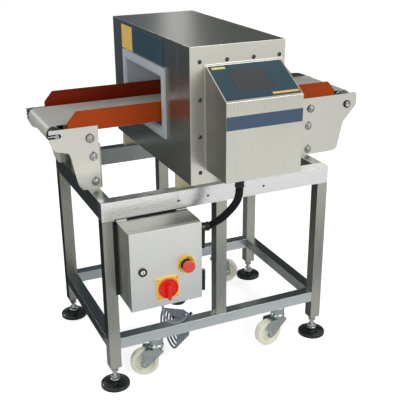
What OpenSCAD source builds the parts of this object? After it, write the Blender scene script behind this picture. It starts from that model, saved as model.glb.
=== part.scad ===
// Belt conveyor metal detector on a welded tube stand.
// X runs along the belt, Y across it with the operator's side at -Y, and Z up from the floor.

/* [Frame] */
// Length of the stand over its legs, along the belt
frame_length = 834; // [760:2:960]
// Depth of the stand across the belt
frame_depth = 562; // [520:2:640]
// Height of the top rails above the floor
frame_height = 684; // [660:2:760]
// Side of the square leg tube
leg_size = 40; // [36:1:46]
// Wall of every stand tube
tube_wall = 2; // [1.5:0.5:3]
// Height of the top rail section
top_rail_height = 62; // [50:1:66]
// Height of the bottom rails' top face above the floor
bottom_rail_top = 189; // [185:1:220]
// Height of the legs' lower ends above the floor
leg_clearance = 76; // [70:1:90]
// Accessory holes along the front top rail
rail_hole_diameter = 8; // [5:0.5:9]

/* [Levelling feet] */
// Diameter of a foot pad
pad_diameter = 100; // [80:1:110]
// Height of a foot pad up to its ball neck
pad_height = 24; // [20:1:36]
// Diameter of the threaded stem
stem_diameter = 16; // [10:1:18]
// Distance that a foot screws out of its leg
foot_travel = 25; // [15:1:30]
// Floor fixing holes in a pad
pad_hole_diameter = 9; // [7:0.5:11]

/* [Castors] */
// Diameter of a castor wheel
wheel_diameter = 100; // [90:1:104]
// Width of a castor wheel
wheel_width = 32; // [26:1:36]
// Air left under a castor wheel while the feet carry the machine
wheel_lift = 4; // [2:0.5:8]
// Distance of the wheel's axle behind the swivel
castor_trail = 41; // [36:1:44]
// Distance of the swivels from the middle of the stand
castor_reach = 243; // [225:1:250]
// Diameter of the wheel's axle
axle_diameter = 8; // [6:0.5:10]

/* [Detector head] */
// Length of the head along the belt
head_length = 321; // [280:1:380]
// Depth of the head across the belt
head_depth = 700; // [660:2:740]
// Height of the head
head_height = 430; // [410:2:480]
// Distance of the head's front face ahead of the stand's front
head_overhang = 91; // [70:1:100]
// Shift of the head's middle along the belt
head_shift = 9.5; // [0:0.5:20]
// Sheet of the head and its front cover
head_wall = 3; // [2:0.5:4]
// Height of the insulating blocks under the head
block_height = 47; // [40:1:60]
// Depth of the bolted front cover
cover_depth = 97; // [80:1:100]

/* [Tunnel] */
// Clear width of the tunnel
tunnel_width = 332; // [325:1:350]
// Clear height of the tunnel
tunnel_height = 168; // [160:1:180]
// Height of the tunnel's floor above the head's underside
tunnel_sill = 132; // [125:1:150]
// Wall of the plastic liner
liner_wall = 10; // [6:1:12]
// Border of the plastic frames round the tunnel
tunnel_border = 31; // [24:1:36]
// Thickness of the plastic frames
tunnel_frame_depth = 8; // [5:1:12]

/* [Operator console] */
// Width of the console
console_width = 256; // [220:2:280]
// Height of the console's front face up to its lip
console_front_height = 244; // [200:2:260]
// Depth of the console
console_depth = 140; // [110:2:160]
// Rise of the slanted panel from lip to back
console_rise = 80; // [60:1:84]
// Height of the console's underside above the head's underside
console_sill = 46; // [40:1:60]
// Sheet of the console
console_wall = 2; // [1.5:0.5:3]

/* [Conveyor] */
// Width over the conveyor's side plates
conveyor_width = 310; // [300:1:320]
// Width of the belt
belt_width = 240; // [200:1:244]
// Rise of the belt's running face above the stand's top rails
belt_rise = 218; // [206:1:256]
// Thickness of the belt
belt_thickness = 2; // [1:0.5:3]
// Reach of the tail roller's axis past the stand's left end
tail_reach = 88; // [60:1:130]
// Reach of the drive drum's axis past the stand's right end
drive_reach = 160; // [140:1:190]
// Diameter of the tail roller
tail_diameter = 50; // [34:1:54]
// Diameter of the drive drum
drum_diameter = 88; // [70:1:90]
// Sheet of the side plates
plate_thickness = 4; // [3:0.5:6]
// Height of the side guides above the belt
guide_height = 45; // [40:1:60]

/* [Control box] */
// Width of the control box
box_width = 246; // [240:1:270]
// Height of the control box
box_height = 264; // [240:1:280]
// Depth of the box body behind its door
box_depth = 100; // [90:1:120]
// Sheet of the box and the door
box_wall = 2; // [1.5:0.5:3]
// Depth of the door's folded rim
door_depth = 19.5; // [14:0.5:22]
// Diameter of the emergency stop's mushroom head
mushroom_diameter = 40; // [30:1:44]
// Travel of the emergency stop
estop_travel = 5; // [3:0.5:6]
// Side of the main switch's square plate
switch_plate_side = 74; // [60:1:76]

/* [Cables] */
// Outer diameter of the corrugated conduit over its ribs
conduit_diameter = 21; // [16:1:24]
// Diameter of the power cord
cord_diameter = 8; // [6:0.5:8]
// Loops in the hanging coil of cord
coil_loops = 6; // [4:1:7]

/* [Hidden] */

// Facets of round pieces, and the overrun of every cut past its face
$fn = 64;
hull_fn = 32;
over = 1;
// Radial play of a running fit, and the gap between pieces that only sit close
fit = 0.1;
seat = 0.3;

// Stand
half_l = frame_length / 2;
half_d = frame_depth / 2;
rail_under = frame_height - top_rail_height;
bottom_rail_height = leg_size;
bottom_rail_under = bottom_rail_top - bottom_rail_height;
leg_cap = 6;
leg_axis_x = half_l - leg_size / 2;
leg_axis_y = half_d - leg_size / 2;
seam_x = -160;
seam_width = 0.8;
rail_hole_pitch = 104.5;
rail_hole_first = -155;
rail_hole_count = 4;
rail_hole_drop = 34;
rail_hole_z = frame_height - rail_hole_drop;

// Feet
pad_profile_shares = [[0, 0], [1, 0], [1, 0.38], [0.96, 0.49], [0.62, 0.71], [0.36, 0.8], [0.36, 1], [0, 1]];
pad_fix_share = 0.32;
pad_fix_radius = pad_diameter * pad_fix_share;
seat_disc = 35;
seat_disc_height = 3.5;
ball_hex = 28;
ball_hex_height = 10;
nut_across = 24;
nut_height = 10;
stem_spare = 14;
stem_top = leg_clearance + leg_cap + foot_travel + stem_spare;

// Castors
wheel_radius = wheel_diameter / 2;
axle_height = wheel_lift + wheel_radius;
fork_sheet = 3;
fork_gap = 3;
fork_inner = wheel_width / 2 + fork_gap;
crown_gap = 5;
crown_height = wheel_lift + wheel_diameter + crown_gap;
race_height = 20;
race_diameter = 46;
race_profile_shares = [[0, 0], [1, 0], [1, 0.42], [0.9, 0.46], [0.9, 0.54], [1, 0.58], [0.98, 0.8], [0.84, 1],
    [0, 1]];
fork_back = 19;
fork_top = 57;
fork_eye = 21;
axle_nut = 13;
axle_nut_height = 5;
hub_diameter = 27;
web_share = 0.55;
rim_shares = [[0.66, 0.55], [0.7, 0.9], [0.8, 1], [0.94, 1], [0.985, 0.8], [1, 0.45]];
kingpin_diameter = 14;
cup_diameter = 50;
castor_x = [-castor_reach, castor_reach, -castor_reach, castor_reach];
castor_y = [-leg_axis_y, -leg_axis_y, leg_axis_y, leg_axis_y];
castor_heading = [160, 183, 256, 350];

// Head
head_x0 = head_shift - head_length / 2;
head_x1 = head_shift + head_length / 2;
head_y0 = -half_d - head_overhang;
head_y1 = head_y0 + head_depth;
head_z0 = frame_height + block_height;
cover_y = head_y0 + cover_depth;
block_length = 60;
block_width = 20;
front_block_y = -leg_axis_y;
rear_block_inset = 27;
rear_block_y = half_d - rear_block_inset;

// Tunnel, whose middle the conveyor shares
lane_y = 12;
tunnel_shift = 2;
tunnel_y0 = lane_y + tunnel_shift - tunnel_width / 2;
tunnel_z0 = head_z0 + tunnel_sill;
coil_width = 12;
coil_height = 8;
coil_pitch = 60;

// Console
console_x0 = -100;
console_y1 = head_y0;
console_y0 = console_y1 - console_depth;
console_z0 = head_z0 + console_sill;
console_lip_z = console_z0 + console_front_height;
console_top_z = console_lip_z + console_rise;
console_slope = atan2(console_rise, console_depth);
console_flange = 5;
panel_margin = 5;
panel_thickness = 1.5;
lip_depth = 9;
screen_width_share = 0.5;
screen_height_share = 0.62;
screen_left_share = 0.2;
screen_low_share = 0.2;

// Conveyor
tail_x = -half_l - tail_reach;
drive_x = half_l + drive_reach;
belt_height = frame_height + belt_rise;
belt_under = belt_height - belt_thickness;
tail_z = belt_under - tail_diameter / 2;
drive_z = belt_under - drum_diameter / 2;
plate_y0 = lane_y - conveyor_width / 2;
plate_y1 = lane_y + conveyor_width / 2;
belt_y0 = lane_y - belt_width / 2;
return_drop = 46;
return_axis_z = belt_height - return_drop;
return_diameter = 30;
crown_share = 0.985;
tail_return_gap = 106;
drive_return_gap = 154.4;
tail_return_x = tail_x + tail_return_gap;
drive_return_x = drive_x - drive_return_gap;
strand_z = return_axis_z + return_diameter / 2 + seat;
shaft_diameter = 14;
shaft_reach = 3;
tension_screw = 6;
bed_sheet = 2;
bed_over_belt = 2;
guide_drop = 21;
bed_shelf_z = belt_height - guide_drop;
bed_gap = 6;
bed_x0 = tail_x + tail_diameter / 2 + bed_gap;
bed_x1 = drive_x - drum_diameter / 2 - bed_gap;
plate_drop = 6.5;
plate_top = belt_height - plate_drop;
plate_low = frame_height;
guide_sheet = 4;
guide_start = 38;
guide_end = 55;
guide_x0 = tail_x + guide_start;
guide_x1 = drive_x - guide_end;
guide_chamfer_x = 29;
guide_chamfer_z = 34;
guide_gap = 0.3;
stand_sheet = 4;
stand_side = 60;
stand_rib = 36;
stand_height = 151;
tail_stand_reach = 8;
drive_stand_reach = 32;
tail_stand_x = -half_l - tail_stand_reach;
drive_stand_x = half_l - drive_stand_reach;
motor_box_back = 54;
motor_box_x = drive_x - motor_box_back;
motor_box_length = 74;
motor_box_depth = 65;
motor_box_height = 34;
motor_box_drop = 4;
motor_box_top = belt_height - motor_box_drop;

// Side plates: outlines and bolts as shares of a plate's length and height, from its outer top corner
arm_tip = 25;
drive_tip = 41;
tail_foot_inset = 46;
drive_back_inset = 29;
tail_foot_x = -half_l + tail_foot_inset;
drive_back_x = half_l - drive_back_inset;
tail_plate_shares = [[0, 0], [0, 0.17], [0.03, 0.235], [0.082, 0.31], [0.13, 0.335], [0.308, 0.369],
    [0.35, 0.379], [0.38, 0.397], [0.4, 0.43], [0.413, 0.475], [0.434, 0.556],
    [0.516, 0.859], [0.55, 0.93], [0.623, 1], [1, 1], [1, 0]];
drive_plate_shares = [[0.035, 0], [0.01, 0.011], [0, 0.038], [0, 0.222], [0.23, 0.496], [0.313, 0.905],
    [0.325, 0.945], [0.35, 0.975], [0.39, 0.993], [0.44, 1], [1, 1], [1, 0]];
tail_bolt_shares = [[0.874, 0.482], [0.893, 0.887]];
drive_bolt_shares = [[0.88, 0.489], [0.872, 0.905]];
slot_width = 14.6;
slot_depth = 39;
bolt_diameter = 9;
bolt_slot_height = 26;

// Control box, between the left leg and the middle leg
box_gap = 4;
hanger_width = 36;
hanger_sheet = 2;
hanger_flange = 30;
box_x0 = -half_l + leg_size + box_gap;
box_y1 = -half_d - hanger_sheet;
box_y0 = box_y1 - box_depth;
box_z1 = rail_under - box_gap;
box_z0 = box_z1 - box_height;
box_lip = 12;
door_gap = 1.5;
door_inset = 3;
door_overhang = 2;
door_y1 = box_y0 - door_gap;
door_y0 = door_y1 - door_depth;
door_x0 = box_x0;
door_x1 = box_x0 + box_width - door_inset;
hinge_diameter = 12;
hinge_pin = 6;
hinge_knuckle = 37;
hinge_leaf = 3;
hinge_leaf_reach = 36;
hinge_stand = 4;
hinge_setback = 13.5;
hinge_low = 21;
hinge_high = 172;
hinge_x = box_x0 + box_width + hinge_stand;
hinge_y = door_y1 - hinge_setback;
hinge_zs = [box_z0 + hinge_low, box_z0 + hinge_high];
switch_inset = 121.4;
switch_rise = 62;
switch_x = box_x0 + switch_inset;
switch_z = box_z0 + switch_rise;
switch_boss = 40;
switch_body = 24;
switch_plate_depth = 6;
switch_corner_share = 0.04;
handle_diameter = 66;
handle_depth = 8;
handle_profile_shares = [[0, 0], [1, 0], [1, 0.8], [0.97, 1], [0.9, 1], [0.86, 0.9], [0.82, 0.55], [0, 0.55]];
grip_width = 12;
grip_depth = 12;
grip_length = 46;
grip_rise = 21;
grip_taper_share = 0.8;
estop_inset = 187.7;
estop_rise = 130;
estop_x = box_x0 + estop_inset;
estop_z = box_z0 + estop_rise;
estop_ring = 60;
estop_ring_depth = 1.5;
collar_diameter = 30;
collar_depth = 11;
mushroom_depth = 13.5;
mushroom_shares = [[0, 0], [0.86, 0], [1, 0.25], [1, 0.7], [0.97, 0.82], [0.9, 0.92], [0.7, 1], [0, 1]];
estop_stem = 22;
estop_plunger = 12;
lock_inset = 40.4;
lock_rise = 132;
lock_x = box_x0 + lock_inset;
lock_z = box_z0 + lock_rise;
lock_diameter = 27.6;
lock_depth = 5;
lock_core = 16;
lock_recess_share = 0.4;
lock_barrel = 12;
cam_length = 28;
cam_width = 15;
cam_sheet = 2.5;
buzzer_inset = 179;
under_box_reach = 61;
buzzer_x = box_x0 + buzzer_inset;
buzzer_y = box_y1 - under_box_reach;
buzzer_diameter = 62;
buzzer_height = 40;
buzzer_shares = [[0, 0], [0.8, 0], [0.8, 0.2], [1, 0.25], [1, 0.6], [0.85, 0.85], [0.5, 1], [0, 1]];
chassis_inset = 18;
chassis_sheet = 2;
chassis_stand = 8;
peg_inset = 27;
peg_diameter = 8;
// Place, size and depth of the inverter, the contactor and the terminal rail, as shares of the box
gear_shares = [[0.12, 0.42, 0.3, 0.46, 0.6], [0.5, 0.5, 0.18, 0.3, 0.5], [0.12, 0.14, 0.7, 0.14, 0.3]];

// Conduit route, from under the console to the box's side
gland_diameter = 27;
gland_length = 22;
cord_gland_length = 30;
gland_nut_share = 0.34;
gland_body_shares = [[0, 0], [0.9, 0], [0.9, 0.5], [1, 0.54], [1, 0.8], [0.92, 0.92], [0.74, 1], [0, 1]];
gland_squeeze = 2;
conduit_inset = 83;
conduit_setback = 68;
side_gland_reach = 72;
side_gland_drop = 41;
cord_exit_inset = 127;
conduit_top = [console_x0 + conduit_inset, head_y0 - conduit_setback];
conduit_side = [box_y1 - side_gland_reach, box_z1 - side_gland_drop];
cord_exit = [box_x0 + cord_exit_inset, box_y1 - under_box_reach];
conduit_bore = 14;
conduit_rib_pitch = 5;
conduit_root_share = 0.86;
look = 2;
conduit_sides = 8;
conduit_end_gap = 0.5;
conduit_start = [conduit_top[0], conduit_top[1], console_z0 - gland_length - conduit_end_gap];
conduit_end = [box_x0 + box_width + gland_length + conduit_end_gap, conduit_side[0], conduit_side[1]];
// Its points between the two glands, as shares of the way along X, Y and Z
conduit_route_shares = [
    [0, 0, 0], [0, 0, 0.115], [-0.011, 0.047, 0.262], [-0.023, 0.188, 0.408], [0.011, 0.388, 0.549],
    [0.126, 0.588, 0.696], [0.309, 0.776, 0.837], [0.526, 0.929, 0.938], [0.754, 1, 0.999], [1, 1, 1]];
conduit_points = [for (s = conduit_route_shares) [for (k = [0:2])
    conduit_start[k] + s[k] * (conduit_end[k] - conduit_start[k])]];

// Cord route, from the gland under the box to the bottom rail and the coil behind it
cord_sides = 8;
cord_points = [
    [-246, -344, 323.6], [-246, -344, 312], [-245, -342, 296], [-239, -337, 274], [-227, -327, 252],
    [-211, -312, 230], [-187, -297, 211], [-160, -281, 198], [-138, -266, 193.5],
    [-122, -252, 193.5], [-112, -240, 193.5], [-106, -224, 188.5], [-103, -211, 180.5],
    [-102, -201, 176.8], [-102, -190.9, 176]];
tail_points = [
    [-154, -85, 100.1], [-154, -85, 90], [-154, -85, 78], [-154, -85, 66], [-154, -85, 54.3],
    [-155.2, -87.1, 38.8], [-158.8, -93.3, 24.9], [-164.3, -102.8, 13.8],
    [-171.3, -114.9, 6.7], [-179, -128.3, 4.3], [-186.2, -137.6, 5.3], [-195.5, -144.8, 7.8],
    [-206.3, -149.3, 10.7], [-218, -150.8, 13.2], [-224, -150.8, 14], [-230, -150.8, 14.3]];
coil_x0 = -102;
coil_pitch_x = 8.32;
coil_radius_first = 45;
coil_radius_last = 75;
coil_front_y = -235;
coil_top_z = 176;
coil_steps = 24;
coil_sides = 6;
plug_point = [-230.4, -150.8, 14.3];
plug_heading = 180;
plug_length = 40;
plug_diameter = 28;
plug_shares = [[0, 0], [0.36, 0], [0.5, 0.3], [0.86, 0.36], [1, 0.46], [1, 0.92], [0.92, 1], [0, 1]];
pin_length = 19;
pin_diameter = 4.8;
pin_pitch = 19;

// Middle of the object's box without its cord, from the stand's middle
middle_x = (tail_x - tail_diameter / 2 + drive_x + drum_diameter / 2) / 2;
middle_y = (console_y0 + head_y1) / 2;

steel = [0.72, 0.71, 0.68];
dark_steel = [0.45, 0.47, 0.47];
rubber = [0.08, 0.09, 0.1];
plastic_grey = [0.63, 0.66, 0.69];
slate = [0.27, 0.36, 0.4];
orange = [0.57, 0.24, 0.1];

// General shapes

// Puts a piece drawn from the stand's middle into the frame of the whole object
module placed() {
    translate([-middle_x, -middle_y, 0]) children();
}

// A rod along one axis from a point: 0 for X, 1 for Y, 2 for Z
module rod(axis, diameter, length) {
    turn = axis == 0 ? [0, 90, 0] : axis == 1 ? [-90, 0, 0] : [0, 0, 0];
    rotate(turn) cylinder(d = diameter, h = length);
}

// A hexagon along one axis, given across its flats
module hexagon(across, height) {
    cylinder(d = across / cos(30), h = height, $fn = 6);
}

// A square tube with open ends, along axis 0, 1 or 2, from its low corner
module tube(axis, size) {
    hole = [for (i = [0:2]) i == axis ? size[i] + 2 * over : size[i] - 2 * tube_wall];
    start = [for (i = [0:2]) i == axis ? -over : tube_wall];
    difference() {
        cube(size);
        translate(start) cube(hole);
    }
}

// A profile drawn in X and Z, standing from y0 to y0 + depth
module upright(y0, depth) {
    translate([0, y0 + depth, 0]) rotate([90, 0, 0]) linear_extrude(depth) children();
}

// A rectangle with round corners
module round_box(size, r) {
    for (x = [0, 1], y = [0, 1]) translate([r + x * (size[0] - 2 * r), r + y * (size[1] - 2 * r)]) circle(r);
    translate([r, 0]) square([size[0] - 2 * r, size[1]]);
    translate([0, r]) square([size[0], size[1] - 2 * r]);
}

// Points given as shares of two lengths from a corner
function spread(shares, corner, reach) =
    [for (s = shares) [corner[0] + s[0] * reach[0], corner[1] + s[1] * reach[1]]];

// A profile of shares turned about Z
module turned(shares, radius, height) {
    rotate_extrude() polygon(spread(shares, [0, 0], [radius, height]));
}

// Sweeps: a ring of points round each point of a route, joined to one closed skin
function unit(v) = v / norm(v);
function route_dir(p, i) = unit(p[min(i + 1, len(p) - 1)] - p[max(i - 1, 0)]);
function side_of(d) = unit(cross(d, abs(d[0]) > 0.9 ? [0, 0, 1] : [1, 0, 0]));
function ring(c, d, r, n) = let (a = side_of(d), b = cross(d, a))
    [for (k = [0:n - 1]) c + r * (a * cos(360 * k / n) + b * sin(360 * k / n))];
// A smooth curve through the route's points, cut into equal steps between each pair
function curve_at(p, i, t) = let (
        a = p[max(i - 1, 0)], b = p[i], c = p[i + 1], d = p[min(i + 2, len(p) - 1)])
    0.5 * (2 * b + (c - a) * t + (2 * a - 5 * b + 4 * c - d) * t * t + (3 * b - a - 3 * c + d) * t * t * t);
function smooth(p, steps) = concat(
    [for (i = [0:len(p) - 2], k = [0:steps - 1]) curve_at(p, i, k / steps)], [p[len(p) - 1]]);

module skin(rings) {
    n = len(rings[0]);
    m = len(rings);
    points = concat([for (r = rings) for (q = r) q], [mean(rings[0])], [mean(rings[m - 1])]);
    sides = [for (i = [0:m - 2], k = [0:n - 1]) let (l = (k + 1) % n)
        each [[i * n + k, (i + 1) * n + k, (i + 1) * n + l], [i * n + k, (i + 1) * n + l, i * n + l]]];
    caps = [for (k = [0:n - 1]) let (l = (k + 1) % n)
        each [[m * n, k, l], [m * n + 1, (m - 1) * n + l, (m - 1) * n + k]]];
    polyhedron(points, concat(sides, caps));
}
// The same with a bore: an outer skin, an inner one turned inwards and a flat ring at each end
module hollow_skin(outer, inner) {
    n = len(outer[0]);
    m = len(outer);
    h = len(inner);
    base = m * n;
    points = concat([for (r = outer) for (q = r) q], [for (r = inner) for (q = r) q]);
    faces = concat(
        [for (i = [0:m - 2], k = [0:n - 1]) let (l = (k + 1) % n)
            each [[i * n + k, (i + 1) * n + k, (i + 1) * n + l], [i * n + k, (i + 1) * n + l, i * n + l]]],
        [for (i = [0:h - 2], k = [0:n - 1]) let (l = (k + 1) % n, o = base + i * n, p = o + n)
            each [[o + k, p + l, p + k], [o + k, o + l, p + l]]],
        [for (k = [0:n - 1]) let (l = (k + 1) % n) each [[base + k, k, l], [base + k, l, base + l]]],
        [for (k = [0:n - 1]) let (l = (k + 1) % n, o = (m - 1) * n, p = base + (h - 1) * n)
            each [[p + k, o + l, o + k], [p + k, p + l, o + l]]]);
    polyhedron(points, faces);
}
function mean(ps) = [for (i = [0:2]) sum([for (q = ps) q[i]]) / len(ps)];
function sum(v, i = 0) = i < len(v) ? v[i] + sum(v, i + 1) : 0;
function lengths(p) = [for (i = 0, s = 0; i < len(p); s = s + (i + 1 < len(p) ? norm(p[i + 1] - p[i]) : 0),
    i = i + 1) s];
function at_length(p, ls, s, i = 0) = (i >= len(p) - 2 || ls[i + 1] >= s)
    ? p[i] + (p[i + 1] - p[i]) * (s - ls[i]) / (ls[i + 1] - ls[i]) : at_length(p, ls, s, i + 1);

module swept(path, diameter, sides) {
    skin([for (i = [0:len(path) - 1]) ring(path[i], route_dir(path, i), diameter / 2, sides)]);
}

// Stand

module leg(x, y, top) {
    translate([x - leg_size / 2, y - leg_size / 2, leg_clearance]) difference() {
        cube([leg_size, leg_size, top - leg_clearance]);
        translate([tube_wall, tube_wall, leg_cap])
            cube([leg_size - 2 * tube_wall, leg_size - 2 * tube_wall, top]);
        translate([leg_size / 2, leg_size / 2, -over])
            cylinder(d = stem_diameter + 2 * fit, h = leg_cap + 2 * over);
    }
}

module leg_front_left() { placed() color(steel) leg(-leg_axis_x, -leg_axis_y, rail_under); }
module leg_front_right() { placed() color(steel) leg(leg_axis_x, -leg_axis_y, rail_under); }
module leg_rear_left() { placed() color(steel) leg(-leg_axis_x, leg_axis_y, rail_under); }
module leg_rear_right() { placed() color(steel) leg(leg_axis_x, leg_axis_y, rail_under); }

module middle_legs() {
    height = rail_under - bottom_rail_top;
    placed() color(steel) for (y = [-half_d, half_d - leg_size])
        translate([-leg_size / 2, y, bottom_rail_top]) tube(2, [leg_size, leg_size, height]);
}

module long_rail(y) {
    translate([-half_l, y, rail_under]) difference() {
        cube([frame_length, leg_size, top_rail_height]);
        translate([tube_wall, tube_wall, tube_wall])
            cube([frame_length - 2 * tube_wall, leg_size - 2 * tube_wall, top_rail_height - 2 * tube_wall]);
    }
}

// The front rail is two lengths welded end to end, with a row of accessory holes
module top_rail_front() {
    placed() color(steel) difference() {
        long_rail(-half_d);
        for (i = [0:rail_hole_count - 1])
            translate([rail_hole_first + i * rail_hole_pitch, -half_d - over, rail_hole_z])
                rod(1, rail_hole_diameter, tube_wall + 2 * over);
        translate([seam_x, -half_d - over, rail_under - over])
            cube([seam_width, over + tube_wall / 2, top_rail_height + 2 * over]);
    }
}

module top_rail_rear() { placed() color(steel) long_rail(half_d - leg_size); }

module top_side_rails() {
    length = frame_depth - 2 * leg_size;
    placed() color(dark_steel) for (x = [-half_l, half_l - leg_size])
        translate([x, -half_d + leg_size, rail_under]) tube(1, [leg_size, length, top_rail_height]);
}

// The long bottom rails carry the castors' stems in bored seats
module bottom_long_rails() {
    placed() color(steel) difference() {
        for (y = [-half_d, half_d - leg_size]) translate([-half_l + leg_size, y, bottom_rail_under])
            tube(0, [frame_length - 2 * leg_size, leg_size, bottom_rail_height]);
        for (i = [0:3]) translate([castor_x[i], castor_y[i], bottom_rail_under - over])
            cylinder(d = stem_diameter + 2 * fit, h = tube_wall + 2 * over);
    }
}

module bottom_side_rails() {
    placed() color(dark_steel) for (x = [-half_l, half_l - leg_size])
        translate([x, -half_d + leg_size, bottom_rail_under])
            tube(1, [leg_size, frame_depth - 2 * leg_size, bottom_rail_height]);
}

module head_blocks() {
    placed() color([0.75, 0.72, 0.62]) for (x = [head_x0, head_x1 - block_length])
        for (y = [front_block_y, rear_block_y])
            translate([x, y, frame_height]) cube([block_length, block_width, block_height]);
}

// Levelling feet

module foot_stem(x, y) {
    placed() color(steel) translate([x, y, 0]) {
        translate([0, 0, pad_height]) cylinder(d = stem_diameter, h = stem_top - pad_height);
        translate([0, 0, pad_height]) cylinder(d = seat_disc, h = seat_disc_height);
        translate([0, 0, pad_height]) hexagon(ball_hex, seat_disc_height + ball_hex_height);
        translate([0, 0, leg_clearance - nut_height - seat]) hexagon(nut_across, nut_height);
    }
}

// The pad is a domed disc with a flat rim, a ball neck and two floor fixing holes
module foot_pad(x, y) {
    placed() color(rubber) translate([x, y, 0]) difference() {
        turned(pad_profile_shares, pad_diameter / 2, pad_height);
        for (a = [-90, 90]) rotate(a) translate([pad_fix_radius, 0, -over])
            cylinder(d = pad_hole_diameter, h = pad_height + 2 * over);
    }
}

module foot_stem_front_left() { foot_stem(-leg_axis_x, -leg_axis_y); }
module foot_stem_front_right() { foot_stem(leg_axis_x, -leg_axis_y); }
module foot_stem_rear_left() { foot_stem(-leg_axis_x, leg_axis_y); }
module foot_stem_rear_right() { foot_stem(leg_axis_x, leg_axis_y); }
module foot_pad_front_left() { foot_pad(-leg_axis_x, -leg_axis_y); }
module foot_pad_front_right() { foot_pad(leg_axis_x, -leg_axis_y); }
module foot_pad_rear_left() { foot_pad(-leg_axis_x, leg_axis_y); }
module foot_pad_rear_right() { foot_pad(leg_axis_x, leg_axis_y); }

// Castors

module castor_stem(i) {
    cup_z = crown_height + race_height + seat;
    stem_end = bottom_rail_top - bottom_rail_height / 2;
    translate([castor_x[i], castor_y[i], 0]) {
        translate([0, 0, cup_z]) cylinder(d = stem_diameter, h = stem_end - cup_z);
        translate([0, 0, cup_z]) cylinder(d = cup_diameter, h = bottom_rail_under - cup_z);
        translate([0, 0, crown_height - seat])
            cylinder(d = kingpin_diameter, h = cup_z - crown_height + over);
    }
}

module castor_stems() { placed() color([0.6, 0.65, 0.68]) for (i = [0:3]) castor_stem(i); }

// One fork cheek, drawn with the trail along +X: its front edge stands and its back edge slants
module cheek() {
    hull() {
        translate([-fork_back, crown_height - fork_sheet]) square([fork_top, fork_sheet]);
        translate([castor_trail, axle_height]) circle(d = fork_eye, $fn = hull_fn);
    }
}

module castor_fork(i) {
    outside = fork_inner + fork_sheet;
    placed() color([0.6, 0.65, 0.68]) translate([castor_x[i], castor_y[i], 0]) rotate(castor_heading[i]) {
        difference() {
            union() {
                translate([0, 0, crown_height - fork_sheet])
                    turned(race_profile_shares, race_diameter / 2, race_height + fork_sheet);
                translate([-fork_back, -outside, crown_height - fork_sheet])
                    cube([fork_top, 2 * outside, fork_sheet]);
                for (y = [-outside, fork_inner]) upright(y, fork_sheet) cheek();
            }
            translate([0, 0, crown_height - fork_sheet - over])
                cylinder(d = kingpin_diameter + 2 * fit, h = race_height + fork_sheet + 2 * over);
        }
        translate([castor_trail, -outside, axle_height]) rod(1, axle_diameter, 2 * outside);
        for (s = [-1, 1]) translate([castor_trail, s * fork_inner, axle_height])
            rotate([s * -90, 0, 0]) hexagon(axle_nut, fork_sheet + axle_nut_height);
    }
}

module castor_wheel(i) {
    w = wheel_width / 2;
    side = w + fork_gap - seat;
    bore = axle_diameter / 2 + fit;
    hub = hub_diameter / 2;
    last = len(rim_shares) - 1;
    near = [for (k = [0:last]) [rim_shares[k][0] * wheel_radius, -rim_shares[k][1] * w]];
    far = [for (k = [0:last]) [rim_shares[last - k][0] * wheel_radius, rim_shares[last - k][1] * w]];
    placed() color([0.9, 0.9, 0.82]) translate([castor_x[i], castor_y[i], 0]) rotate(castor_heading[i])
        translate([castor_trail, 0, axle_height]) rotate([-90, 0, 0]) rotate_extrude() polygon(concat(
            [[bore, -side], [hub, -side], [hub, -w * web_share]], near, far,
            [[hub, w * web_share], [hub, side], [bore, side]]));
}

module castor_fork_front_left() { castor_fork(0); }
module castor_fork_front_right() { castor_fork(1); }
module castor_fork_rear_left() { castor_fork(2); }
module castor_fork_rear_right() { castor_fork(3); }
module castor_wheel_front_left() { castor_wheel(0); }
module castor_wheel_front_right() { castor_wheel(1); }
module castor_wheel_rear_left() { castor_wheel(2); }
module castor_wheel_rear_right() { castor_wheel(3); }

// Detector head

module tunnel_cut(grow, x0, x1) {
    translate([x0, tunnel_y0 - grow, tunnel_z0 - grow])
        cube([x1 - x0, tunnel_width + 2 * grow, tunnel_height + 2 * grow]);
}

module head_shell() {
    placed() color(steel) difference() {
        translate([head_x0, cover_y, head_z0]) cube([head_length, head_y1 - cover_y, head_height]);
        translate([head_x0 + head_wall, cover_y + head_wall, head_z0 + head_wall])
            cube([head_length, head_y1 - cover_y, head_height] - 2 * head_wall * [1, 1, 1]);
        tunnel_cut(liner_wall + seat, head_x0 - over, head_x1 + over);
    }
}

module head_front_cover() {
    placed() color(steel) difference() {
        translate([head_x0, head_y0, head_z0]) cube([head_length, cover_depth, head_height]);
        translate([head_x0 + head_wall, head_y0 + head_wall, head_z0 + head_wall])
            cube([head_length - 2 * head_wall, cover_depth, head_height - 2 * head_wall]);
    }
}

module tunnel_liner() {
    placed() color(plastic_grey) difference() {
        tunnel_cut(liner_wall, head_x0, head_x1);
        tunnel_cut(0, head_x0 - over, head_x1 + over);
    }
}

// A flat plastic frame round each end of the tunnel, with a stepped inner edge
module tunnel_frames() {
    step = tunnel_border / 5;
    placed() color(plastic_grey) for (x = [head_x0 - tunnel_frame_depth, head_x1]) difference() {
        tunnel_cut(tunnel_border, x, x + tunnel_frame_depth);
        tunnel_cut(0, x - over, x + tunnel_frame_depth + over);
        outer = x < head_shift ? x : x + tunnel_frame_depth / 2;
        tunnel_cut(step, outer - (x < head_shift ? over : 0),
            outer + tunnel_frame_depth / 2 + (x < head_shift ? 0 : over));
    }
}

module search_coils() {
    placed() color([0.7, 0.4, 0.2]) for (k = [-1:1]) difference() {
        x = head_shift + k * coil_pitch - coil_width / 2;
        tunnel_cut(liner_wall + seat + coil_height, x, x + coil_width);
        tunnel_cut(liner_wall + seat, x - over, x + coil_width + over);
    }
}

// Operator console: a folded wedge with an open back against the head

module console_profile(inset) {
    past = inset > 0 ? over : 0;
    down = inset / cos(console_slope);
    rise = tan(console_slope);
    polygon([[console_y0 + inset, console_z0 + inset], [console_y1 + past, console_z0 + inset],
        [console_y1 + past, console_top_z - down + past * rise],
        [console_y0 + inset, console_lip_z - down + inset * rise]]);
}

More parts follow.
